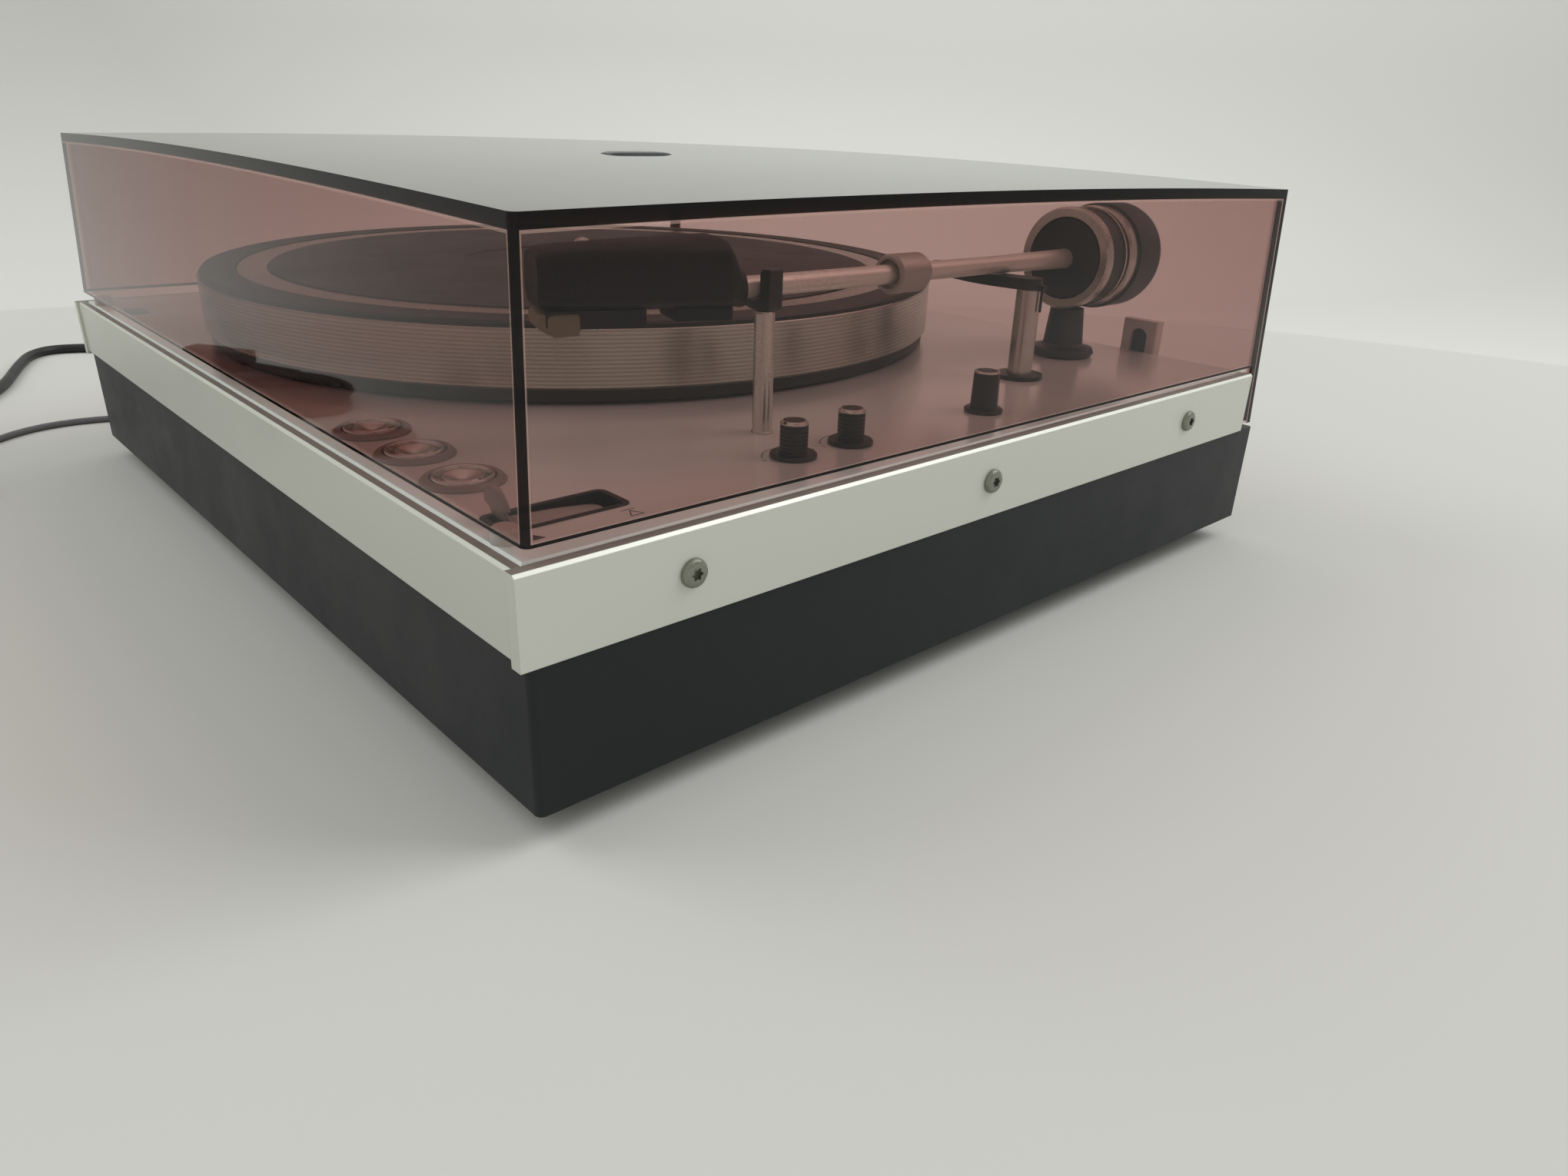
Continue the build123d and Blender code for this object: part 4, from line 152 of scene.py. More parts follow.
# %% Lay the cords
def lay_cord(name, points, radius):
    """One open NURBS spline of order 3, as a bare line for its path and as a tube of the radius, in mm."""
    curve = bpy.data.curves.new(name, "CURVE")
    curve.dimensions = "3D"
    spline = curve.splines.new("NURBS")
    spline.points.add(len(points) - 1)
    spline.points.foreach_set("co", np.column_stack([points, np.ones(len(points))]).ravel())
    spline.order_u, spline.use_endpoint_u, spline.resolution_u = 3, True, 6
    drawn = bpy.data.objects.new(name + "_curve", curve)
    traced = bpy.data.meshes.new_from_object(drawn)
    path = np.array([v.co for v in traced.vertices])
    curve.bevel_depth, curve.bevel_resolution, curve.use_fill_caps = radius * MM, 4, True
    tube = bpy.data.meshes.new_from_object(drawn)
    tube.name = name
    bpy.data.objects.remove(drawn)
    sewn = bmesh.new()
    sewn.from_mesh(tube)
    bmesh.ops.remove_doubles(sewn, verts=sewn.verts, dist=1e-7)
    bmesh.ops.recalc_face_normals(sewn, faces=sewn.faces)
    sewn.to_mesh(tube)
    sewn.free()
    tube.shade_smooth()
    tube.set_sharp_from_angle(angle=math.radians(60.0))
    cord = bpy.data.objects.new(name, tube)
    scene.collection.objects.link(cord)
    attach(cord, "base")
    print(name, "is", round(np.linalg.norm(np.diff(path, axis=0), axis=1).sum(), 3), "m long")
    return cord, path


mains_cord, mains_path = lay_cord("mains_lead", mains_points, MAINS_R)
signal_cord, signal_path = lay_cord("signal_lead", signal_points, SIGNAL_R)
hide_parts("mains_cord", "mains_coil")
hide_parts("signal_cord", "signal_coil")


# %% [markdown]
# ## Colour, nodes and grids
#
# Colours are noted as sRGB hex, as a colour picker gives them. Shaders work with linear light, so one
# function turns the first into the second. One more function adds a node with its settings and its
# links in a single line, which keeps each finish short enough to read. A third turns grids of points
# into a mesh: every small piece below is a surface with two parameters, worked out with numpy.

# %% Helpers for finishes and pieces
def linear(code):
    """Each sRGB channel c becomes c / 12.92 below 0.04045, and ((c + 0.055) / 1.055) ** 2.4 above it."""
    c = np.array([int(code[i:i + 2], 16) for i in (1, 3, 5)]) / 255
    return (*np.where(c <= 0.04045, c / 12.92, ((c + 0.055) / 1.055) ** 2.4), 1.0)


def add(tree, kind, inputs=(), **settings):
    """Adds a node. An input that is another node's output is linked, and any other value is set."""
    node = tree.nodes.new("ShaderNode" + kind)
    for key, value in settings.items():
        setattr(node, key, value)
    for socket, value in dict(inputs).items():
        if isinstance(value, bpy.types.NodeSocket):
            tree.links.new(value, node.inputs[socket])
        else:
            node.inputs[socket].default_value = value
    return node


def start(name, colour, roughness, metallic=0.0, **more):
    """A new material whose Principled shader has its plain values on its own sockets."""
    material = bpy.data.materials.new(name)
    material.use_nodes = True
    tree = material.node_tree
    shader = tree.nodes["Principled BSDF"]
    shader.inputs["Base Color"].default_value = linear(colour)
    shader.inputs["Roughness"].default_value = roughness
    shader.inputs["Metallic"].default_value = metallic
    for socket, value in more.items():
        shader.inputs[socket.replace("_", " ")].default_value = value
    coords = add(tree, "TexCoord").outputs["Object"]
    return material, tree, shader, coords


def mesh_object(name, *grids, wrap=False, caps=False, sharp=35.0):
    """Grids of points (rows, columns, 3) as one mesh of quads, joined round along the columns if wrap is
    true. Rows that shrink to one point become a pole, open ends are filled if caps is true, and edges
    sharper than the angle stay crisp."""
    quads, first = [], 0
    for points in grids:
        rows, columns = points.shape[:2]
        index = first + np.arange(rows * columns).reshape(rows, columns)
        ring = np.hstack([index, index[:, :1]]) if wrap else index
        corners = [ring[:-1, :-1], ring[:-1, 1:], ring[1:, 1:], ring[1:, :-1]]
        quads.append(np.stack(corners, -1).reshape(-1, 4))
        first += rows * columns
    mesh = bpy.data.meshes.new(name)
    mesh.from_pydata(np.vstack([p.reshape(-1, 3) for p in grids]).tolist(), [], np.vstack(quads).tolist())
    sewn = bmesh.new()
    sewn.from_mesh(mesh)
    bmesh.ops.remove_doubles(sewn, verts=sewn.verts, dist=1e-7)
    if caps:
        bmesh.ops.holes_fill(sewn, edges=[edge for edge in sewn.edges if edge.is_boundary])
    bmesh.ops.recalc_face_normals(sewn, faces=sewn.faces)
    sewn.to_mesh(mesh)
    sewn.free()
    mesh.shade_smooth()
    mesh.set_sharp_from_angle(angle=math.radians(sharp))
    made = bpy.data.objects.new(name, mesh)
    scene.collection.objects.link(made)
    return made


print("white is", linear("#FFFFFF"), "and middle grey", round(linear("#808080")[0], 3))

# %% [markdown]
# ## The stage and the light
#
# A plain pale floor runs into a soft cove about a metre round the camera, as a roll of paper does. The
# wall only shows to the camera and in reflections: it throws no shadow, and it is clear from behind,
# so that the camera can go round the back. It glows a little, most of all high up and straight behind
# the turntable, as a wall does that has its own lamp. Most of the light is the even world, and one large
# soft lamp at the back right gives the shadows their direction.

# %% Floor and cove
FLOOR_COLOUR, WALL_COLOUR = "#CACBC6", "#D2D3CF"
COVE_REACH, COVE_ROUND, COVE_TOP, FLOOR_HALF, FLOOR_Z = 1.02, 0.22, 3.0, 9.0, -1e-5
GLOW_WAY, GLOW_FROM, GLOW_MOST = (-0.515, 0.62, 0.27), 0.49, 0.4

bend = np.linspace(0, np.pi / 2, 24)
rise_line = COVE_ROUND * np.column_stack([np.sin(bend), 1 - np.cos(bend)]) + (COVE_REACH, 0.0)
rise_line = np.vstack([rise_line, (COVE_REACH + COVE_ROUND, COVE_TOP)])
angle = np.linspace(0, 2 * np.pi, 97)[:-1]
cove = mesh_object("cove", np.stack([
    CAMERA_PLACE[0] + rise_line[:, :1] * np.cos(angle),
    CAMERA_PLACE[1] + rise_line[:, :1] * np.sin(angle),
    np.repeat(rise_line[:, 1:], len(angle), 1)], -1), wrap=True)
if cove.data.polygons[0].normal.z < 0:
    cove.data.flip_normals()
flat = np.array([-FLOOR_HALF, FLOOR_HALF])
across, along = np.meshgrid(flat, flat, indexing="ij")
floor = mesh_object("floor", np.stack([across, along, np.full((2, 2), FLOOR_Z)], -1))
if floor.data.polygons[0].normal.z < 0:
    floor.data.flip_normals()

paper, tree, shader, coords = start("backdrop_floor", FLOOR_COLOUR, 0.9)
shader.inputs["Specular IOR Level"].default_value = 0.1
floor.data.materials.append(paper)
wall, tree, shader, coords = start("backdrop_wall", WALL_COLOUR, 1.0)
shader.inputs["Specular IOR Level"].default_value = 0.0
shader.inputs["Emission Color"].default_value = linear("#F4F6F2")
way = add(tree, "VectorMath", {0: coords, 1: GLOW_WAY}, operation="DOT_PRODUCT").outputs["Value"]
glow = add(tree, "MapRange", {"Value": way, "From Min": GLOW_FROM, "From Max": GLOW_FROM + GLOW_MOST,
                              "To Min": 0.0, "To Max": GLOW_MOST})
tree.links.new(glow.outputs["Result"], shader.inputs["Emission Strength"])
behind = add(tree, "NewGeometry").outputs["Backfacing"]
clear = add(tree, "BsdfTransparent").outputs["BSDF"]
one_sided = add(tree, "MixShader", {0: behind, 1: shader.outputs["BSDF"], 2: clear})
tree.links.new(one_sided.outputs["Shader"], tree.nodes["Material Output"].inputs["Surface"])
cove.data.materials.append(wall)
cove.visible_shadow = cove.visible_diffuse = False
print("cove:", len(cove.data.polygons), "faces,", COVE_REACH, "m from the camera")

# %% World and lamps
WORLD_STRENGTH = 0.65
KEY_PLACE, KEY_POWER, KEY_SIZE = (1.3, 2.0, 2.3), 49.0, 1.8
FILL_PLACE, FILL_POWER, FILL_SIZE = (-1.6, -1.4, 2.0), 18.0, 1.6

world = bpy.data.worlds.new("soft_room")
world.use_nodes = True
world.node_tree.nodes["Background"].inputs["Color"].default_value = linear("#FAFAF7")
world.node_tree.nodes["Background"].inputs["Strength"].default_value = WORLD_STRENGTH
scene.world = world


def lamp(name, place, power, size):
    """A square soft lamp that faces the turntable: its own Z axis points away from the middle."""
    light = bpy.data.lights.new(name, "AREA")
    light.energy, light.size = power, size
    made = bpy.data.objects.new(name, light)
    scene.collection.objects.link(made)
    made.location = place
    made.rotation_mode = "QUATERNION"
    made.rotation_quaternion = made.location.to_track_quat("Z", "Y")
    return made


lamp("key_lamp", KEY_PLACE, KEY_POWER, KEY_SIZE)
lamp("fill_lamp", FILL_PLACE, FILL_POWER, FILL_SIZE)
scene.view_settings.view_transform = "Standard"
print("world", WORLD_STRENGTH, "key", KEY_POWER, "W, fill", FILL_POWER, "W")


# %% [markdown]
# ## Painted and moulded blacks
#
# The plinth is a board with satin black paint, and the small black parts are moulded plastic. Neither
# is a flat colour. Two noises give each its life: a fine one, with the size of the mould's grain, makes
# the bump, and a wide one lets the gloss and the tone drift a little, as dust and hands do. A Bevel
# node rounds the shading at sharp edges, because no real edge is perfectly sharp.

# %% A family of plastics, paints and rubbers
def moulded(name, colour, drift, roughness, grain=0.35, relief=0.02, cloud=30.0, edge=0.25, **more):
    """Colour runs to drift over clouds of the given size in mm, and grain is the bump's size in mm."""
    material, tree, shader, coords = start(name, colour, roughness, **more)
    wide = add(tree, "TexNoise", {"Vector": coords, "Scale": 1000 / cloud, "Detail": 5.0,
                                  "Roughness": 0.62})
    fine = add(tree, "TexNoise", {"Vector": coords, "Scale": 1000 / grain, "Detail": 2.0})
    tone = add(tree, "Mix", {0: wide.outputs["Fac"], 6: linear(colour), 7: linear(drift)}, data_type="RGBA")
    gloss = add(tree, "MapRange", {"Value": wide.outputs["Fac"], "From Min": 0.3, "From Max": 0.7,
                                   "To Min": roughness * 0.88, "To Max": min(1.0, roughness * 1.14)})
    round_edge = add(tree, "Bevel", {"Radius": edge * MM}, samples=4)
    bump = add(tree, "Bump", {"Height": fine.outputs["Fac"], "Distance": relief * MM, "Strength": 0.6,
                              "Normal": round_edge.outputs["Normal"]})
    tree.links.new(tone.outputs[2], shader.inputs["Base Color"])
    tree.links.new(gloss.outputs["Result"], shader.inputs["Roughness"])
    tree.links.new(bump.outputs["Normal"], shader.inputs["Normal"])
    return material


finishes = {
    # satin black paint on board, a little blue: a soft grey sheen where it is seen at a low angle
    "plinth_black": moulded("satin_black_paint", "#0D1216", "#13181C", 0.46, grain=0.5, relief=0.03,
                            edge=0.6, Specular_IOR_Level=0.38),
    # pressed steel cover with powder coat: even and dull
    "cover_black": moulded("powder_coat", "#18191A", "#202122", 0.6, grain=0.6, relief=0.08),
    # dense rubber, with no shine to speak of
    "foot_rubber": moulded("foot_rubber", "#121212", "#1B1B1A", 0.8, grain=0.3, relief=0.04),
    # moulded plastic of tray, knobs, rest clip and hinge parts: a soft highlight along its edges
    "black_moulding": moulded("moulded_plastic", "#111214", "#18191A", 0.36, grain=0.3, relief=0.015),
    # soft rubber of rings, bushes and buffers: deep black that only turns grey at the rim
    "soft_black": moulded("soft_rubber", "#141414", "#1C1C1B", 0.62, grain=0.25, relief=0.02),
    # green lacquer on the circuit boards
    "board": moulded("circuit_board", "#3E4A2C", "#475433", 0.5, grain=0.6, relief=0.05),
    # ground rubber of the belt
    "belt_rubber": moulded("belt_rubber", "#171615", "#201F1D", 0.55, grain=0.2, relief=0.01),
    # enamel of pillar, bearing housing and counterweight: smoother than the plastic
    "weight_black": moulded("weight_black_enamel", "#1C1D1E", "#232425", 0.4, grain=0.3, relief=0.01),
    # headshell with a leathery moulded grain
    "shell_black": moulded("headshell_plastic", "#08090B", "#0E0F11", 0.5, grain=0.9, relief=0.008,
                           Specular_IOR_Level=0.3),
    # smooth plastic of the cartridge
    "cartridge_black": moulded("cartridge_plastic", "#08090A", "#0E0F10", 0.36, grain=0.25, relief=0.01,
                               Specular_IOR_Level=0.3),
    # olive plastic of the stylus grip, the one coloured piece on the arm
    "guard_olive": moulded("stylus_grip_plastic", "#6B6650", "#736E57", 0.42, grain=0.25, relief=0.01),
    # PVC sheath of the mains cord
    "mains_black": moulded("mains_sheath", "#131314", "#1B1B1C", 0.48, grain=0.5, relief=0.02, cloud=18.0),
    # grey PVC of the thin signal lead
    "signal_grey": moulded("signal_sheath", "#5D5E60", "#68696B", 0.5, grain=0.5, relief=0.02, cloud=18.0),
}
# die-cut rubber of the mats, with a leathery grain of about a millimetre
mat_rubber = moulded("mat_rubber", "#211F1D", "#2C2925", 0.5, grain=1.1, relief=0.14, cloud=45.0,
                     Specular_IOR_Level=0.38)
# softer grey rubber of the rings round the buttons
ring_rubber = moulded("ring_rubber", "#7D7771", "#87817A", 0.4, grain=0.3, relief=0.01)
# milky soft plastic of the two buffers that the lid's front rests on
buffer_plastic = moulded("buffer_plastic", "#B4ABA5", "#BDB4AE", 0.4, grain=0.3, relief=0.004)
# smoke-grey clear plastic of the cue lever: lighter than its tray, with gleaming edges
smoke_plastic = moulded("smoke_plastic", "#918C86", "#9C9790", 0.2, grain=0.4, relief=0.004, edge=0.5)
# thin screen-printed ink
printed_ink = moulded("printed_ink", "#3B3734", "#474340", 0.6, grain=0.3, relief=0.002, edge=0.05)
# dark blue-grey anodised label plates without any print
plate_dark = moulded("dark_plate", "#20242B", "#2A2E35", 0.26, grain=0.3, relief=0.002, cloud=12.0)
print("plastics and paints:", len(finishes) + 6)


# %% [markdown]
# ## Metals
#
# A mirror-bright metal takes its colour from what it reflects. Anodised aluminium is different: its
# skin of oxide scatters part of the light, so that it looks pale and even from every side. Its
# Metallic value is therefore well under one. The rest is in the roughness and in the marks of the tool:
# a noise that is stretched along one direction makes brushing.

# %% A family of plain, brushed and anodised metals
def metal(name, colour, roughness, shine=1.0, brush=(1.0, 1.0, 1.0), grain=0.4, relief=0.004, spread=0.2,
          edge=0.3):
    """Fine noise of the given size in mm, stretched by brush, drives the bump and part of the gloss."""
    material, tree, shader, coords = start(name, colour, roughness, shine)
    stretched = add(tree, "Mapping", {"Vector": coords, "Scale": brush})
    fine = add(tree, "TexNoise", {"Vector": stretched.outputs["Vector"], "Scale": 1000 / grain,
                                  "Detail": 3.0})
    wide = add(tree, "TexNoise", {"Vector": coords, "Scale": 22.0, "Detail": 6.0, "Roughness": 0.65})
    mixed = add(tree, "Math", {0: fine.outputs["Fac"], 1: wide.outputs["Fac"]}, operation="ADD")
    gloss = add(tree, "MapRange", {"Value": mixed.outputs["Value"], "From Min": 0.7, "From Max": 1.3,
                                   "To Min": roughness * (1 - spread), "To Max": roughness * (1 + spread)})
    round_edge = add(tree, "Bevel", {"Radius": edge * MM}, samples=4)
    bump = add(tree, "Bump", {"Height": fine.outputs["Fac"], "Distance": relief * MM, "Strength": 0.5,
                              "Normal": round_edge.outputs["Normal"]})
    tree.links.new(gloss.outputs["Result"], shader.inputs["Roughness"])
    tree.links.new(bump.outputs["Normal"], shader.inputs["Normal"])
    return material


finishes |= {
    # anodised aluminium extrusion: a warm, faintly green satin
    "strip_metal": metal("anodised_strip", "#D0D1C6", 0.4, 0.42, grain=0.5, relief=0.006),
    # brushed and anodised sheet: it mirrors the platter softly when it is seen at a low angle
    "deck_metal": metal("brushed_deck", "#E2E8E4", 0.2, 0.4, brush=(0.05, 1.0, 1.0), grain=0.35,
                        relief=0.0005, spread=0.08),
    # zinc-plated screws: cooler, with small bright and dark patches
    "screw_steel": metal("zinc_plated_screw", "#8C8D82", 0.3, 0.85, grain=0.7, relief=0.06, spread=0.5),
    # polished buttons and hinge covers: nearly a mirror
    "polished_metal": metal("polished_aluminium", "#D8D8D2", 0.14, 0.9, grain=0.3, relief=0.001),
    # turned bright parts of the arm and its rest
    "turned_metal": metal("turned_aluminium", "#C6C6BE", 0.24, 0.85, grain=0.3, relief=0.003),
    # satin tube: pale even in shade
    "arm_metal": metal("arm_tube_aluminium", "#D6D5CD", 0.32, 0.45, brush=(1.0, 0.04, 1.0), grain=0.25,
                       relief=0.002),
    # polished rings of the weights: the brightest lines at the arm's back end
    "weight_bright": metal("weight_ring_metal", "#C6C5BD", 0.2, 0.85, grain=0.3, relief=0.002),
    # zinc-plated sheet under the deck: yellowish and dull
    "chassis_steel": metal("zinc_plated_chassis", "#A9A998", 0.4, 0.85, grain=0.8, relief=0.01),
    # ground steel of spindle and pins
    "steel": metal("bright_steel", "#BEBEB8", 0.2, 1.0, grain=0.3, relief=0.002),
}
# pale satin lacquer on the hinge covers: light on every side, with a soft highlight along the edges
cover_satin = metal("hinge_cover_lacquer", "#D9D5CF", 0.28, 0.12, grain=0.3, relief=0.001)
# brushed grey metal of the sliding tracking weight: darker than the tube it sits on
weight_satin = metal("tracking_weight_metal", "#A8A6A0", 0.4, 0.5, brush=(1.0, 0.05, 1.0), grain=0.3)
print("finishes so far:", len(finishes))

# %% [markdown]
# ## Painted reflection on the strips' top faces
#
# The strips are finished on the side that is seen. Their narrow top faces would mirror the dark lid above
# them, so they get a painted reflection: brown-grey beside the bright bevel. The colour is mixed by the
# direction of the surface.

# %% Painted dark reflection on the strips' top faces
tree = finishes["strip_metal"].node_tree
facing = add(tree, "TexCoord").outputs["Normal"]
upward = add(tree, "SeparateXYZ", {0: facing}).outputs["Z"]
# painted reflection: faces that point up turn brown-grey, as if they mirrored the dark lid
painted_top_reflection = add(tree, "MapRange", {"Value": upward, "From Min": 0.85, "From Max": 0.97}).outputs["Result"]
tone = add(tree, "Mix", {0: painted_top_reflection, 6: linear("#D0D2C9"), 7: linear("#8B857D")}, data_type="RGBA")
tree.links.new(tone.outputs[2], tree.nodes["Principled BSDF"].inputs["Base Color"])
print("strip material:", len(tree.nodes), "nodes")

# %% [markdown]
# ## The platter
#
# The platter is turned on a lathe, and its rim keeps about two dozen fine grooves, one under the other.
# A wave texture in bands along Z draws them on the rim, and one in rings round the spindle draws the
# lathe's marks on the flat ring at the top. The upward share of the surface's direction picks one. They
# could be cut into the mesh, but at this size a bump and a change of tone look the same: the bump stands
# for the cut, and the darker tone is painted shade in the grooves and marks. The real grooves are 0.8 mm
# apart, which is under two pixels here, so they are drawn a good half coarser.

# %% Turned platter
PLATTER_AXIS = (-0.0353, -0.00285, 0.0)
GROOVE_PITCH, RING_PITCH = 1.3, 1.0

material, tree, shader, coords = start("turned_platter", "#C2C2B8", 0.24, 0.9)
centred = add(tree, "Mapping", {"Vector": coords, "Location": PLATTER_AXIS}, vector_type="TEXTURE")
centred = centred.outputs["Vector"]
upward = add(tree, "SeparateXYZ", {0: add(tree, "TexCoord").outputs["Normal"]}).outputs["Z"]
# Blender's wave has 20 / (2 pi) waves in a metre at scale 1
WAVE = 1000 * 2 * math.pi / 20
bands = add(tree, "TexWave", {"Vector": centred, "Scale": WAVE / GROOVE_PITCH},
            wave_type="BANDS", bands_direction="Z").outputs["Fac"]
rings = add(tree, "TexWave", {"Vector": centred, "Scale": WAVE / RING_PITCH},
            wave_type="RINGS", rings_direction="Z").outputs["Fac"]
lines = add(tree, "Mix", {0: upward, 2: bands, 3: rings}).outputs[0]
smear = add(tree, "TexNoise", {"Vector": centred, "Scale": 60.0, "Detail": 4.0})
gloss = add(tree, "MapRange", {"Value": smear.outputs["Fac"], "To Min": 0.22, "To Max": 0.3})
# painted shade: the grooves and lathe marks take the darker of the two tones
tone = add(tree, "Mix", {0: lines, 6: linear("#A09F95"), 7: linear("#BFBFB5")}, data_type="RGBA")
bump = add(tree, "Bump", {"Height": lines, "Distance": 0.03 * MM, "Strength": 0.4})
tree.links.new(tone.outputs[2], shader.inputs["Base Color"])
tree.links.new(gloss.outputs["Result"], shader.inputs["Roughness"])
tree.links.new(bump.outputs["Normal"], shader.inputs["Normal"])
finishes["platter_metal"] = material
print("groove pitch", GROOVE_PITCH, "mm")

# %% [markdown]
# ## The tinted lid
#
# The lid is a moulded acrylic shell with a warm smoke tint. Its colour is in the thickness, not on the
# surface: a thin wall is rosy and a rim, seen through centimetres of acrylic, is nearly black. So the
# colour is a Volume Absorption, and the surface is clear with a mirror that grows at low angles, which
# is what Fresnel gives. The mirror only works on the outer side of each face.
#
# A real rim also bends the light so that the eye looks along the wall and not through it. A straight
# ray can't do that, so the rims are darkened by their place: q is the distance below the crowned top,
# or a multiple of the way round the vertical corner or above the foot, whichever is smallest. A thin
# rosy line follows, where light leaves the acrylic.

# %% The lid's skin: clear, with a mirror at low angles
LID_IOR, MIRROR_LEAST, MIRROR_FULL = 1.49, 0.022, 0.8
HAZE_LEAST, HAZE_MOST = 0.015, 0.09

material, tree, shader, coords = start("tinted_acrylic", "#FFFFFF", 0.0)
tree.nodes.remove(shader)
edge_glow = add(tree, "Fresnel", {"IOR": LID_IOR}).outputs["Fac"]
# two skins of the wall mirror at low angles, and a smooth step that is full early stands for the two
both = add(tree, "MapRange", {"Value": edge_glow, "From Max": MIRROR_FULL, "To Min": MIRROR_LEAST},
           interpolation_type="SMOOTHSTEP").outputs["Result"]
inner = add(tree, "NewGeometry").outputs["Backfacing"]
outer = add(tree, "Math", {0: 1.0, 1: inner}, operation="SUBTRACT").outputs["Value"]
mirror_share = add(tree, "Math", {0: both, 1: outer}, operation="MULTIPLY").outputs["Value"]
# long fine wiping marks make the mirror a little hazy
wiped = add(tree, "Mapping", {"Vector": coords, "Rotation": (0.3, 0.2, 0.6), "Scale": (1.0, 0.02, 1.0)})
marks = add(tree, "TexNoise", {"Vector": wiped.outputs["Vector"], "Scale": 900.0, "Detail": 3.0})
haze = add(tree, "MapRange", {"Value": marks.outputs["Fac"], "From Min": 0.45, "From Max": 0.85,
                              "To Min": HAZE_LEAST, "To Max": HAZE_MOST}).outputs["Result"]
mirror = add(tree, "BsdfAnisotropic", {"Roughness": haze}).outputs["BSDF"]
print("mirror share from", MIRROR_LEAST, "up")

# %% The distance q from the nearest rim
CROWN_TOP, CROWN_R, CROWN_Y, LID_LEAN = 0.14379, 7.4, 0.0026, 0.0061
# each outer wall is a plane: its tilt, and its distance from the origin in metres
SIDE_WALL = ((1.0, 0.0, 0.05305), 0.19785)
FRONT_WALL = ((0.0, -1.0, 0.0625), 0.16905)
BACK_WALL = ((0.0, 1.0, -0.0061), 0.16572)
CORNER_SHARES, CORNER_REACH = (2.2, 0.8), 0.16
FOOT_LEVEL, FOOT_SHARE, SKIRT_Y = 0.07389, 4.0, 0.158

# below the crown: the crown's height less the point's own, both square to the leaning top
centred = add(tree, "Mapping", {"Vector": coords, "Location": (0.0, -CROWN_Y, 0.0),
                                "Scale": (1.0, 1.0, 0.0)}).outputs["Vector"]
square = add(tree, "VectorMath", {0: centred, 1: centred}, operation="DOT_PRODUCT").outputs["Value"]
crown = add(tree, "Math", {0: square, 1: -0.5 / CROWN_R, 2: CROWN_TOP}, operation="MULTIPLY_ADD")
level = add(tree, "VectorMath", {0: coords, 1: (0.0, LID_LEAN, 1.0)},
            operation="DOT_PRODUCT").outputs["Value"]
below = add(tree, "Math", {0: crown.outputs["Value"], 1: level}, operation="SUBTRACT").outputs["Value"]
# inside each wall: its distance from the origin less the point's, along the wall's own direction
sides = add(tree, "VectorMath", {0: coords}, operation="ABSOLUTE").outputs["Vector"]
gaps = []
for vector, (tilt, reach) in ((sides, SIDE_WALL), (coords, FRONT_WALL), (coords, BACK_WALL)):
    way = add(tree, "VectorMath", {0: vector, 1: tilt}, operation="DOT_PRODUCT").outputs["Value"]
    gaps.append(add(tree, "Math", {0: reach, 1: way}, operation="SUBTRACT").outputs["Value"])
front_back = add(tree, "Math", {0: gaps[1], 1: gaps[2]}, operation="MINIMUM").outputs["Value"]
skin = add(tree, "Math", {0: gaps[0], 1: front_back}, operation="MINIMUM").outputs["Value"]
# round a vertical corner the two distances add up, and the front corners have the narrower dark line
from_corner = add(tree, "Math", {0: gaps[0], 1: front_back}, operation="ADD").outputs["Value"]
from_front = add(tree, "SeparateXYZ", {0: coords}).outputs["Y"]
share = add(tree, "MapRange", {"Value": from_front, "From Min": -CORNER_REACH, "From Max": CORNER_REACH,
                               "To Min": CORNER_SHARES[0], "To Max": CORNER_SHARES[1]}).outputs["Result"]
from_corner = add(tree, "Math", {0: from_corner, 1: share}, operation="MULTIPLY").outputs["Value"]
q = add(tree, "Math", {0: below, 1: from_corner}, operation="MINIMUM").outputs["Value"]
# above the foot, but not at the back, where the skirt goes on downwards
foot = add(tree, "Math", {0: level, 1: FOOT_SHARE, 2: -FOOT_SHARE * FOOT_LEVEL},
           operation="MULTIPLY_ADD").outputs["Value"]
at_skirt = add(tree, "Math", {0: from_front, 1: SKIRT_Y}, operation="GREATER_THAN").outputs["Value"]
foot = add(tree, "Math", {0: foot, 1: at_skirt}, operation="ADD").outputs["Value"]
q = add(tree, "Math", {0: q, 1: foot}, operation="MINIMUM").outputs["Value"]
print("crown radius", CROWN_R, "m")

# %% Dark rims, the rosy line and the tint
RIM_DARK, RIM_SOFT, RIM_LINE, SKIN_DEPTH = 3.3, 0.15, 4.0, 1.2
RIM_COLOUR, LINE_SHARE = (0.035, 0.024, 0.026, 1.0), 0.42
LID_DENSITY, LID_TINT = 146.0, (0.444, 0.0585, 0.0, 1.0)
CLEAR, WALL_THICKNESS = (1.0, 1.0, 1.0, 1.0), 0.003

on_skin = add(tree, "Math", {0: skin, 1: SKIN_DEPTH * MM}, operation="LESS_THAN").outputs["Value"]
dark = add(tree, "MapRange", {"Value": q, "From Min": RIM_DARK * MM, "From Max": (RIM_DARK + RIM_SOFT) * MM,
                              "To Min": 1.0, "To Max": 0.0}).outputs["Result"]
dark = add(tree, "Math", {0: dark, 1: on_skin}, operation="MULTIPLY").outputs["Value"]
shown = add(tree, "Mix", {0: dark, 6: CLEAR, 7: RIM_COLOUR}, data_type="RGBA").outputs[2]
see_through = add(tree, "BsdfTransparent", {"Color": shown}).outputs["BSDF"]
line = add(tree, "Math", {0: q, 1: (RIM_DARK + RIM_LINE) / 2 * MM, 2: (RIM_LINE - RIM_DARK) / 2 * MM},
           operation="COMPARE").outputs["Value"]
line = add(tree, "Math", {0: line, 1: on_skin}, operation="MULTIPLY").outputs["Value"]
line = add(tree, "Math", {0: line, 1: LINE_SHARE}, operation="MULTIPLY").outputs["Value"]
rosy = add(tree, "BsdfDiffuse", {"Color": linear("#C9A79B")}).outputs["BSDF"]
body = add(tree, "MixShader", {0: line, 1: see_through, 2: rosy}).outputs["Shader"]
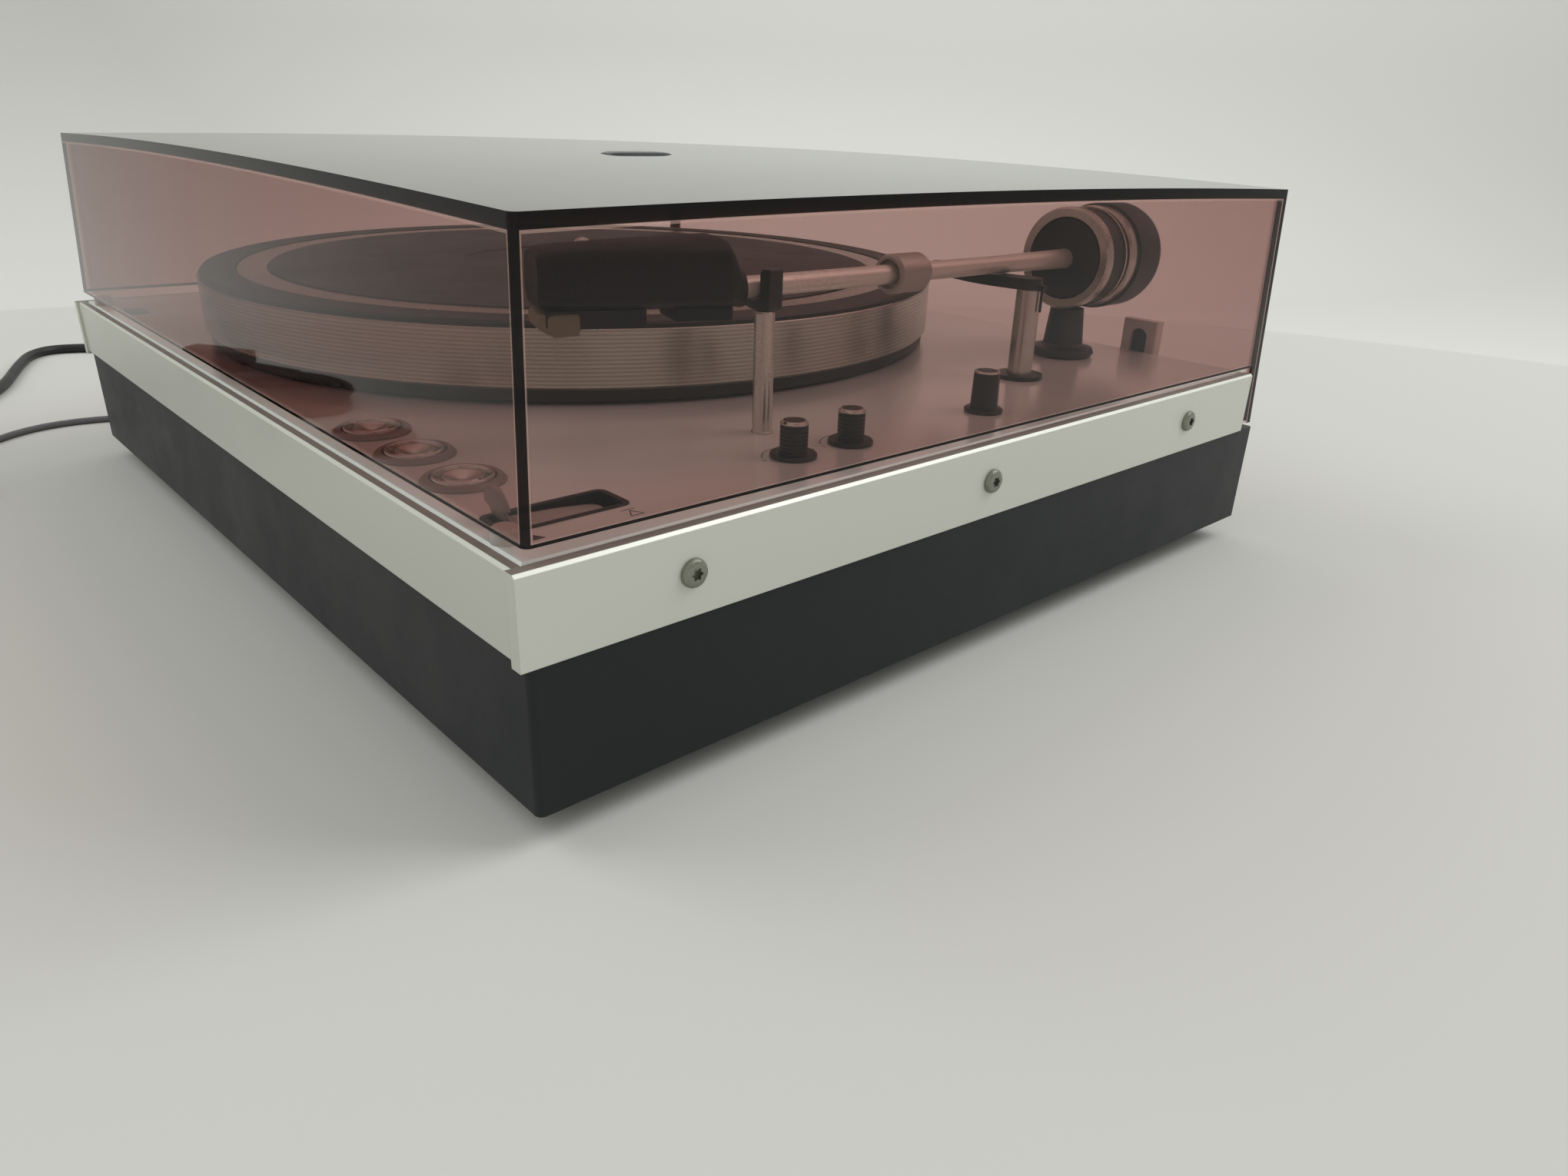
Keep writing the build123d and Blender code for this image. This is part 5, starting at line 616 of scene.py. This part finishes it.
surface = add(tree, "MixShader", {0: mirror_share, 1: body, 2: mirror}).outputs["Shader"]
tint = add(tree, "VolumeAbsorption", {"Color": LID_TINT, "Density": LID_DENSITY}).outputs["Volume"]
tree.links.new(surface, tree.nodes["Material Output"].inputs["Surface"])
tree.links.new(tint, tree.nodes["Material Output"].inputs["Volume"])
finishes["clear_lid"] = material
passed = np.exp((np.array(LID_TINT[:3]) - 1) * LID_DENSITY * WALL_THICKNESS)
print("a wall lets through", passed.round(2))

# %% [markdown]
# ## Every solid gets its finish
#
# The CAD model came with one plain material for each kind of surface. Each is exchanged by its name, and
# a few solids get a finish of their own. Only the slots change: the meshes stay as they are.

# %% Give every CAD node its finish
own_finish = {"mats": mat_rubber, "tracking_weight": weight_satin, "button_gaiters": ring_rubber,
              "hinge_sockets": cover_satin, "lid_buffers": buffer_plastic}
for name, solid in nodes.items():
    for place in solid.material_slots:
        place.material = own_finish.get(name, finishes[place.material.name.split(".")[0]])
for cord, finish in ((mains_cord, "mains_black"), (signal_cord, "signal_grey")):
    cord.data.materials.clear()
    cord.data.materials.append(finishes[finish])
print("dressed:", len(nodes), "nodes")


# %% [markdown]
# ## Screws
#
# Each side strip is held by three pan-head screws with a six-lobe recess. The recess is a polar grid
# whose radius goes up and down six times on its way round, and the dome is a superellipse, which has a
# flatter top and a rounder shoulder than an ellipse.

# %% Pan heads with a six-lobe recess
SCREW_FACE, SCREW_Z = 195.8, 59.35
SCREW_R, SCREW_H, LOBE_R, LOBE_SWING, LOBE_DEPTH = 3.75, 1.7, 1.42, 0.26, 1.3


def screw_head(side, y):
    """The radius runs from the rim to the lobed recess as cos(t) ** 0.7 while the height grows as
    sin(t) ** 0.7. Then the wall of the recess goes down and its floor closes in a pole."""
    round_way = np.linspace(0, 2 * np.pi, 73)[:-1]
    t = np.linspace(0, np.pi / 2, 12)[:, None]
    lobe = LOBE_R + LOBE_SWING * np.cos(6 * round_way)
    radius = lobe + (SCREW_R - lobe) * np.cos(t) ** 0.7
    height = SCREW_H * np.sin(t) ** 0.7 * np.ones_like(round_way)
    low = np.full_like(lobe, SCREW_H - LOBE_DEPTH)
    radius = np.vstack([0 * lobe, radius, lobe, 0 * lobe])
    height = np.vstack([0 * lobe, height, low, low])
    return np.stack([side * (SCREW_FACE + height), y + radius * np.cos(round_way),
                     SCREW_Z + radius * np.sin(round_way)], -1) * MM


heads = mesh_object("strip_screw_heads", *[screw_head(side, y) for side in (-1, 1)
                                           for y in (-121.85, -7.95, 109.25)], wrap=True, sharp=40.0)
heads.data.materials.append(finishes["screw_steel"])
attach(heads, "base")
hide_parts("strip_screws")
print("screw heads:", len(heads.data.polygons), "faces")


# %% [markdown]
# ## Turned parts
#
# Knob rings, buttons and posts are turned: a profile of radius and height goes once round an axis. A
# short bright chamfer closes the top of each ribbed knob, and the tall smooth knob has a thinner one.

# %% Knob rings
def turned(profile, place, columns=96):
    """Each profile point (r, z) becomes the circle (r cos a, r sin a, z) about the place."""
    a = np.linspace(0, 2 * np.pi, columns + 1)[:-1]
    r, z = np.array(profile).T[:, :, None]
    return np.stack([place[0] + r * np.cos(a), place[1] + r * np.sin(a), z + 0 * a], -1) * MM


KNOB_X = 169.4
for name, body, y, radius, top, chamfer in (("front_knob_ring", "knob_front", -66.05, 4.0, 81.5, 0.7),
                                            ("back_knob_ring", "knob_back", -43.25, 4.0, 81.5, 0.7),
                                            ("skate_knob_ring", "knob_skate", 19.35, 4.2, 84.5, 0.35)):
    proud = 0.04
    outside, flat_top, ring_foot = radius + proud, top + proud, (radius - 1, top - 0.3)
    profile = [ring_foot, (outside, top - chamfer - 0.25), (outside, top - chamfer),
               (outside - chamfer, flat_top), (radius - chamfer - 0.25, flat_top), ring_foot]
    ring = mesh_object(name, turned(profile, (KNOB_X, y)), wrap=True)
    ring.data.materials.append(finishes["polished_metal"])
    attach(ring, body)
    print(name, "at a height of", top, "mm")

# %% [markdown]
# ### Dished buttons
#
# The three buttons are turned from aluminium. Each has a round rim, a deep narrow groove that stays dark,
# and a shallow cone with a flat bottom for the fingertip. One profile gives all three shapes at once,
# where a disc with a bump map would keep a flat outline. Both of its ends lie on the axis, as poles.

# %% The three buttons
DECK_Z, BUTTON_Y = 71.0, -148.05
BUTTON_PROFILE = [(0, 69.8), (8.05, 69.8), (8.05, 72.3), (7.8, 72.75), (7.4, 72.9), (7.0, 72.75),
                  (6.75, 72.3), (6.6, 70.3), (5.5, 70.3), (5.35, 72.1), (5.0, 72.45), (4.6, 72.4),
                  (1.3, 71.3), (1.0, 71.15), (0, 71.15)]
for name, x in (("left", 79.0), ("middle", 106.9), ("right", 134.7)):
    button = mesh_object("dished_button_" + name, turned(BUTTON_PROFILE, (x, BUTTON_Y)), wrap=True)
    button.data.materials.append(finishes["polished_metal"])
    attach(button, "button_" + name)
    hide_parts("speed_button_" + name)
print("each button:", len(button.data.polygons), "faces")

# %% The slim rest post
REST_PLACE, REST_R, REST_TOP, FOOT_R = (145.6, -56.95), 3.0, 106.8, 3.25
profile = [(0, DECK_Z), (FOOT_R, DECK_Z), (FOOT_R, DECK_Z + 0.5), (REST_R, DECK_Z + 0.7),
           (REST_R, REST_TOP - 0.5), (REST_R - 0.4, REST_TOP), (0, REST_TOP)]
post = mesh_object("slim_rest_post", turned(profile, REST_PLACE), wrap=True)
post.data.materials.append(finishes["turned_metal"])
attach(post, "base")
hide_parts("rest_post")
print("rest post:", round(REST_TOP - DECK_Z, 1), "mm high")

# %% [markdown]
# ### Two rings on the platter
#
# Between the two mats lies a bare, turned land, a little lower than the rubber. Under the bright rim a
# darker and narrower ring in the mats' rubber stands for the dark gap under the platter and its mirror
# image in the deck: it is painted shade, and it makes the platter float over the deck. Both are profiles
# that are turned round the spindle, in many columns because their outlines are seen close up. The land's
# profile is closed. The band's is open at its top, which faces the platter's underside and isn't seen.

# %% The bare land and the dark band of painted shade
PLATTER_CENTRE, RING_COLUMNS = (PLATTER_AXIS[0] / MM, PLATTER_AXIS[1] / MM), 192
land_profile = [(125.2, 95.4), (136.0, 95.4), (136.0, 96.9), (135.6, 97.2), (125.6, 97.2), (125.2, 96.9),
                (125.2, 95.4)]
under_profile = [(128.0, 76.1), (128.0, 72.4), (128.6, 71.8), (147.6, 71.8), (148.4, 72.4), (148.6, 76.1)]

land = mesh_object("platter_land", turned(land_profile, PLATTER_CENTRE, RING_COLUMNS), wrap=True)
land.data.materials.append(finishes["platter_metal"])
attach(land, "platter_group")
# painted shade: a dark rubber ring where the gap under the platter lies in shadow
under = mesh_object("platter_shade_ring", turned(under_profile, PLATTER_CENTRE, RING_COLUMNS), wrap=True)
under.data.materials.append(mat_rubber)
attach(under, "platter_group")
print("bare land:", round(land_profile[1][0] - land_profile[0][0], 1), "mm wide")

# %% [markdown]
# ## The rest clip
#
# The clip that holds the arm is a small moulding. It is one outline that is drawn across the arm and
# pulled along it: a beak, a hollow for the tube and an upright lug. A bevel at both ends comes from an
# inset of the outline, which costs two more rows of points and no modifier.

# %% The clip with its beak and lug
LOW, HIGH = REST_TOP, 118.6
outline = np.array([(137.0, LOW + 1.7), (138.0, LOW + 2.7), (139.4, LOW + 2.75), (141.1, LOW + 2.2),
                    (143.2, LOW + 2.75), (144.8, LOW + 3.2), (145.2, LOW + 4.4), (145.0, HIGH - 1.0),
                    (145.6, HIGH - 0.3), (148.2, HIGH), (148.8, HIGH - 0.5), (148.7, LOW + 1.0),
                    (148.0, LOW), (140.6, LOW), (138.4, LOW + 0.6)])
middle = outline.mean(0)
CLIP_FRONT, CLIP_BACK, CLIP_BEVEL, CLIP_INSET = -58.4, -52.9, 0.3, 0.93
pulls = [(CLIP_FRONT, CLIP_INSET), (CLIP_FRONT + CLIP_BEVEL, 1.0), (CLIP_BACK - CLIP_BEVEL, 1.0),
         (CLIP_BACK, CLIP_INSET)]
clip_points = np.stack([np.column_stack([middle[0] + (outline[:, 0] - middle[0]) * share,
                                         np.full(len(outline), y),
                                         middle[1] + (outline[:, 1] - middle[1]) * share])
                        for y, share in pulls]) * MM
clip = mesh_object("hooked_rest_clip", clip_points, wrap=True, caps=True)
clip.data.materials.append(finishes["black_moulding"])
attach(clip, "base")
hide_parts("rest_clip")
print("rest clip:", round(CLIP_BACK - CLIP_FRONT, 1), "mm long")

# %% [markdown]
# ## The headshell
#
# The headshell is moulded: round at the collar that takes the tube, and a block with soft edges where it
# holds the cartridge. A loft through superellipses gives that change in one smooth skin. Each section has
# its place, half width, lowest and highest height and power, and the higher the power, the squarer the
# section. The top falls towards the nose, so that it stays clear of the shut lid when the arm is raised.

# %% The headshell and the plug under it
SHELL_PLACE = np.array([141.76, -68.05, 113.22])
SHELL_SIDE, SHELL_WAY = np.array([-0.9486, 0.3164, -0.0071]), np.array([-0.3165, -0.9485, 0.0176])
SHELL_UP = np.cross(SHELL_SIDE, SHELL_WAY)


def lofted(sections, columns=64):
    """Each section (y, half width, low, high, power n) is the closed line x = w c |c| ** (2 / n - 1),
    z = middle + half s |s| ** (2 / n - 1), with c and s the cosine and sine of the angle round it."""
    a = np.linspace(0, 2 * np.pi, columns + 1)[:-1] + np.pi / columns
    y, w, low, high, n = np.array(sections, float).T[:, :, None]
    c, s = np.cos(a), np.sin(a)
    x = w * c * np.abs(c) ** (2 / n - 1)
    z = (low + high) / 2 + (high - low) / 2 * s * np.abs(s) ** (2 / n - 1)
    return (SHELL_PLACE + x[..., None] * SHELL_SIDE + (y + 0 * a)[..., None] * SHELL_WAY
            + z[..., None] * SHELL_UP) * MM


shell_body = lofted([(-4.6, 3.2, -3.2, 3.2, 2), (-4.6, 4.9, -4.9, 4.9, 2), (-3.4, 5.2, -5.0, 5.4, 2.2),
                     (1.6, 10.6, -4.0, 12.4, 4), (3.0, 11.6, -4.0, 13.8, 4), (5.0, 11.8, -4.0, 14.5, 4),
                     (27.0, 11.8, -4.0, 13.1, 4), (50.5, 9.8, -4.0, 11.5, 4), (53.2, 9.2, -3.8, 10.9, 4),
                     (54.4, 8.4, -3.2, 10.0, 4)])
plug_body = lofted([(0.5, 6.6, -7.1, -3.6, 9), (1.1, 7.25, -7.7, -3.5, 9), (16.9, 7.25, -7.7, -3.5, 9),
                    (17.5, 6.6, -7.1, -3.6, 9)])
shell = mesh_object("rounded_headshell", shell_body, plug_body, wrap=True, caps=True, sharp=28.0)
shell.data.materials.append(finishes["shell_black"])
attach(shell, "arm")
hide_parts("headshell")
print("headshell:", len(shell.data.polygons), "faces")

# %% [markdown]
# ## The cue lever
#
# The lever is one strip of smoky plastic: it lies flat in its tray, bends up and ends in a round paddle.
# A strip that only changes its width and direction is a path with a flat section carried along it. The
# bend is an arc, and the paddle's half width follows an ellipse.

# %% The smoky cue lever
LEVER_X, LEVER_BACK, LEVER_FRONT = 167.1, -128.0, -155.8
BLADE_HALF, BLADE_THICK, BEND_R, BEND_TOP, BEND_DEGREES = 3.9, 0.8, 5.0, 75.2, 82
PADDLE_FOOT, PADDLE_HALF, PADDLE_MIDDLE, PADDLE_REACH = 74.6, 5.6, 1.0, 4.4


def lever_band(path, columns=24):
    """Each path point (y, z, half width, half thickness) carries a flat oval across the path: x is the
    half width times |cos| ** 0.6, and the thickness times the sine goes along the path's own normal."""
    y, z, w, t = np.array(path, float).T
    along = np.stack([np.gradient(y), np.gradient(z)], -1)
    along /= np.linalg.norm(along, axis=1)[:, None]
    a = np.linspace(0, 2 * np.pi, columns + 1)[:-1]
    c, lift = np.cos(a), t[:, None] * np.sin(a)
    return np.stack([LEVER_X + w[:, None] * np.sign(c) * np.abs(c) ** 0.6,
                     y[:, None] - lift * along[:, 1:], z[:, None] + lift * along[:, :1]], -1) * MM


flat_part = [(LEVER_BACK, 68.0, BLADE_HALF, 0.9), (-131.0, 68.6, BLADE_HALF, 0.9),
             (-140.0, 69.6, BLADE_HALF, BLADE_THICK)]
bend = np.radians(np.linspace(0, BEND_DEGREES, 9))
arc = np.column_stack([LEVER_FRONT + BEND_R - BEND_R * np.sin(bend), BEND_TOP - BEND_R * np.cos(bend),
                       np.full(len(bend), BLADE_HALF), np.full(len(bend), BLADE_THICK)])
rise = np.array([0.6, 1.6, 2.6, 3.5, 4.3, 4.9, 5.25, 5.38])
half = PADDLE_HALF * np.sqrt(np.maximum(0.01, 1 - ((rise - PADDLE_MIDDLE) / PADDLE_REACH) ** 2)) + 0.2
face = np.column_stack([LEVER_FRONT - 0.1 * rise, PADDLE_FOOT + rise, half, np.full(len(rise), BLADE_THICK)])
lever = mesh_object("smoky_cue_lever", lever_band(np.vstack([flat_part, arc, face])),
                    wrap=True, caps=True, sharp=40.0)
lever.data.materials.append(smoke_plastic)
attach(lever, "cue_lever_group")
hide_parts("cue_lever")
print("cue lever:", len(lever.data.polygons), "faces")

# %% [markdown]
# ## The stylus grip
#
# The olive grip sits under the shell's nose and is the one coloured piece on the arm. It is a block with
# a sloping front and soft edges, and so it comes from the same loft as the shell, in its own finish.

# %% The olive stylus grip
grip = mesh_object("stylus_grip", lofted([(43.3, 7.0, -9.6, -4.8, 6), (43.9, 7.7, -10.9, -4.3, 6),
                                          (50.0, 7.7, -11.3, -4.3, 6), (53.2, 7.0, -9.6, -4.6, 6),
                                          (54.2, 6.4, -8.6, -5.2, 6)]), wrap=True, caps=True, sharp=28.0)
grip.data.materials.append(finishes["guard_olive"])
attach(grip, "arm")
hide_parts("stylus_guard")
print("stylus grip:", len(grip.data.polygons), "faces")

# %% [markdown]
# ## Print and plates
#
# The deck carries a few printed signs: an arc with plus and minus round each speed knob, and a filled
# and an open triangle beside the cue lever. Ink has hardly any height, but a little is enough for a
# ray to meet it first, and a thin closed strip can't flicker with the deck as a flat face would. A plain
# dark plate lies at the front left, and another on the lid.

# %% A flat line with a width
INK, LINE_WIDTH, SIGN_WIDTH = 0.04, 0.28, 0.3
ARC_R, SIGN_R, SIGN_HALF = 8.9, 9.2, 0.9


def inked(path, width):
    """A rectangle, as wide as given at each point, goes along a flat path. Both ends close in a point."""
    path = np.array(path, float)
    along = np.gradient(path, axis=0)
    along /= np.linalg.norm(along, axis=1)[:, None]
    across = np.stack([-along[:, 1], along[:, 0]], -1)[:, None] * np.reshape(width, (-1, 1, 1)) / 2
    corners = path[:, None] + across * np.array([-1, 1, 1, -1])[:, None]
    heights = np.broadcast_to(np.array([DECK_Z, DECK_Z, DECK_Z + INK, DECK_Z + INK])[:, None],
                              (*corners.shape[:2], 1))
    tube = np.concatenate([corners, heights], -1)
    ends = tube[[0, -1]].mean(1, keepdims=True).repeat(4, 1)
    return np.vstack([ends[:1], tube, ends[1:]]) * MM


signs = []
for y in (-66.05, -43.25):
    a = np.radians(np.linspace(118, 242, 40))
    signs.append(inked(np.stack([KNOB_X + ARC_R * np.cos(a), y + ARC_R * np.sin(a)], -1), LINE_WIDTH))
    for turn, crossed in ((102, True), (258, False)):
        x0, y0 = KNOB_X + SIGN_R * math.cos(math.radians(turn)), y + SIGN_R * math.sin(math.radians(turn))
        signs.append(inked([(x0 - SIGN_HALF, y0), (x0 + SIGN_HALF, y0)], SIGN_WIDTH))
        if crossed:
            signs.append(inked([(x0, y0 - SIGN_HALF), (x0, y0 + SIGN_HALF)], SIGN_WIDTH))
signs.append(inked([(178.4, -153.6), (181.4, -153.6)], [0.02, 3.2]))
triangle = np.array([(178.2, -127.4), (181.6, -129.2), (181.6, -125.6), (178.2, -127.4)])
signs += [inked(np.linspace(triangle[k], triangle[k + 1], 3), LINE_WIDTH) for k in range(3)]
signs.append(inked([(177.4, -129.4), (177.4, -125.4)], LINE_WIDTH))
ink = mesh_object("deck_print", *signs, wrap=True)
ink.data.materials.append(printed_ink)
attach(ink, "base")
print("printed signs:", len(signs), "strokes")


# %% Two plain plates
def plate(middle, half, rise, ground):
    """The outline is a superellipse of power 5. The height over the ground is rise * (1 - s ** 8) at the
    share s of the way to the rim, so that the top is flat and the edge is round."""
    a = np.linspace(0, 2 * np.pi, 97)[:-1]
    s = np.sin(np.linspace(0, np.pi / 2, 14))[:, None]
    x = middle[0] + s * half[0] * np.sign(np.cos(a)) * np.abs(np.cos(a)) ** 0.4
    y = middle[1] + s * half[1] * np.sign(np.sin(a)) * np.abs(np.sin(a)) ** 0.4
    top = ground(x, y) + rise * (1 - s ** 8)
    low = ground(x, y) - 0.05
    return np.vstack([np.stack([x, y, top + 0 * x], -1), np.stack([x, y, low + 0 * x], -1)[::-1]]) * MM


def lid_top(x, y):
    """The crown is a ball of 7.4 m radius that leans back with the lid."""
    flat_square = x ** 2 + (y - CROWN_Y / MM) ** 2
    return CROWN_TOP / MM - flat_square / (2 * CROWN_R / MM) - LID_LEAN * y


deck_plate_sign = mesh_object("bare_deck_plate", plate((-154.0, -153.2), (7.5, 4.0), 0.5,
                                                       lambda x, y: DECK_Z + 0 * x), wrap=True)
lid_plate_sign = mesh_object("bare_lid_plate", plate((45.0, -29.7), (4.4, 13.5), 0.7, lid_top), wrap=True)
for sign, body in ((deck_plate_sign, "base"), (lid_plate_sign, "lid_group")):
    sign.data.materials.append(plate_dark)
    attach(sign, body)
    print(sign.name, "has", len(sign.data.polygons), "faces")

# %% [markdown]
# ## The last cell
#
# The view layer is updated once more, so that every object and its parent stand in their final places.

# %% The end
bpy.context.view_layer.update()
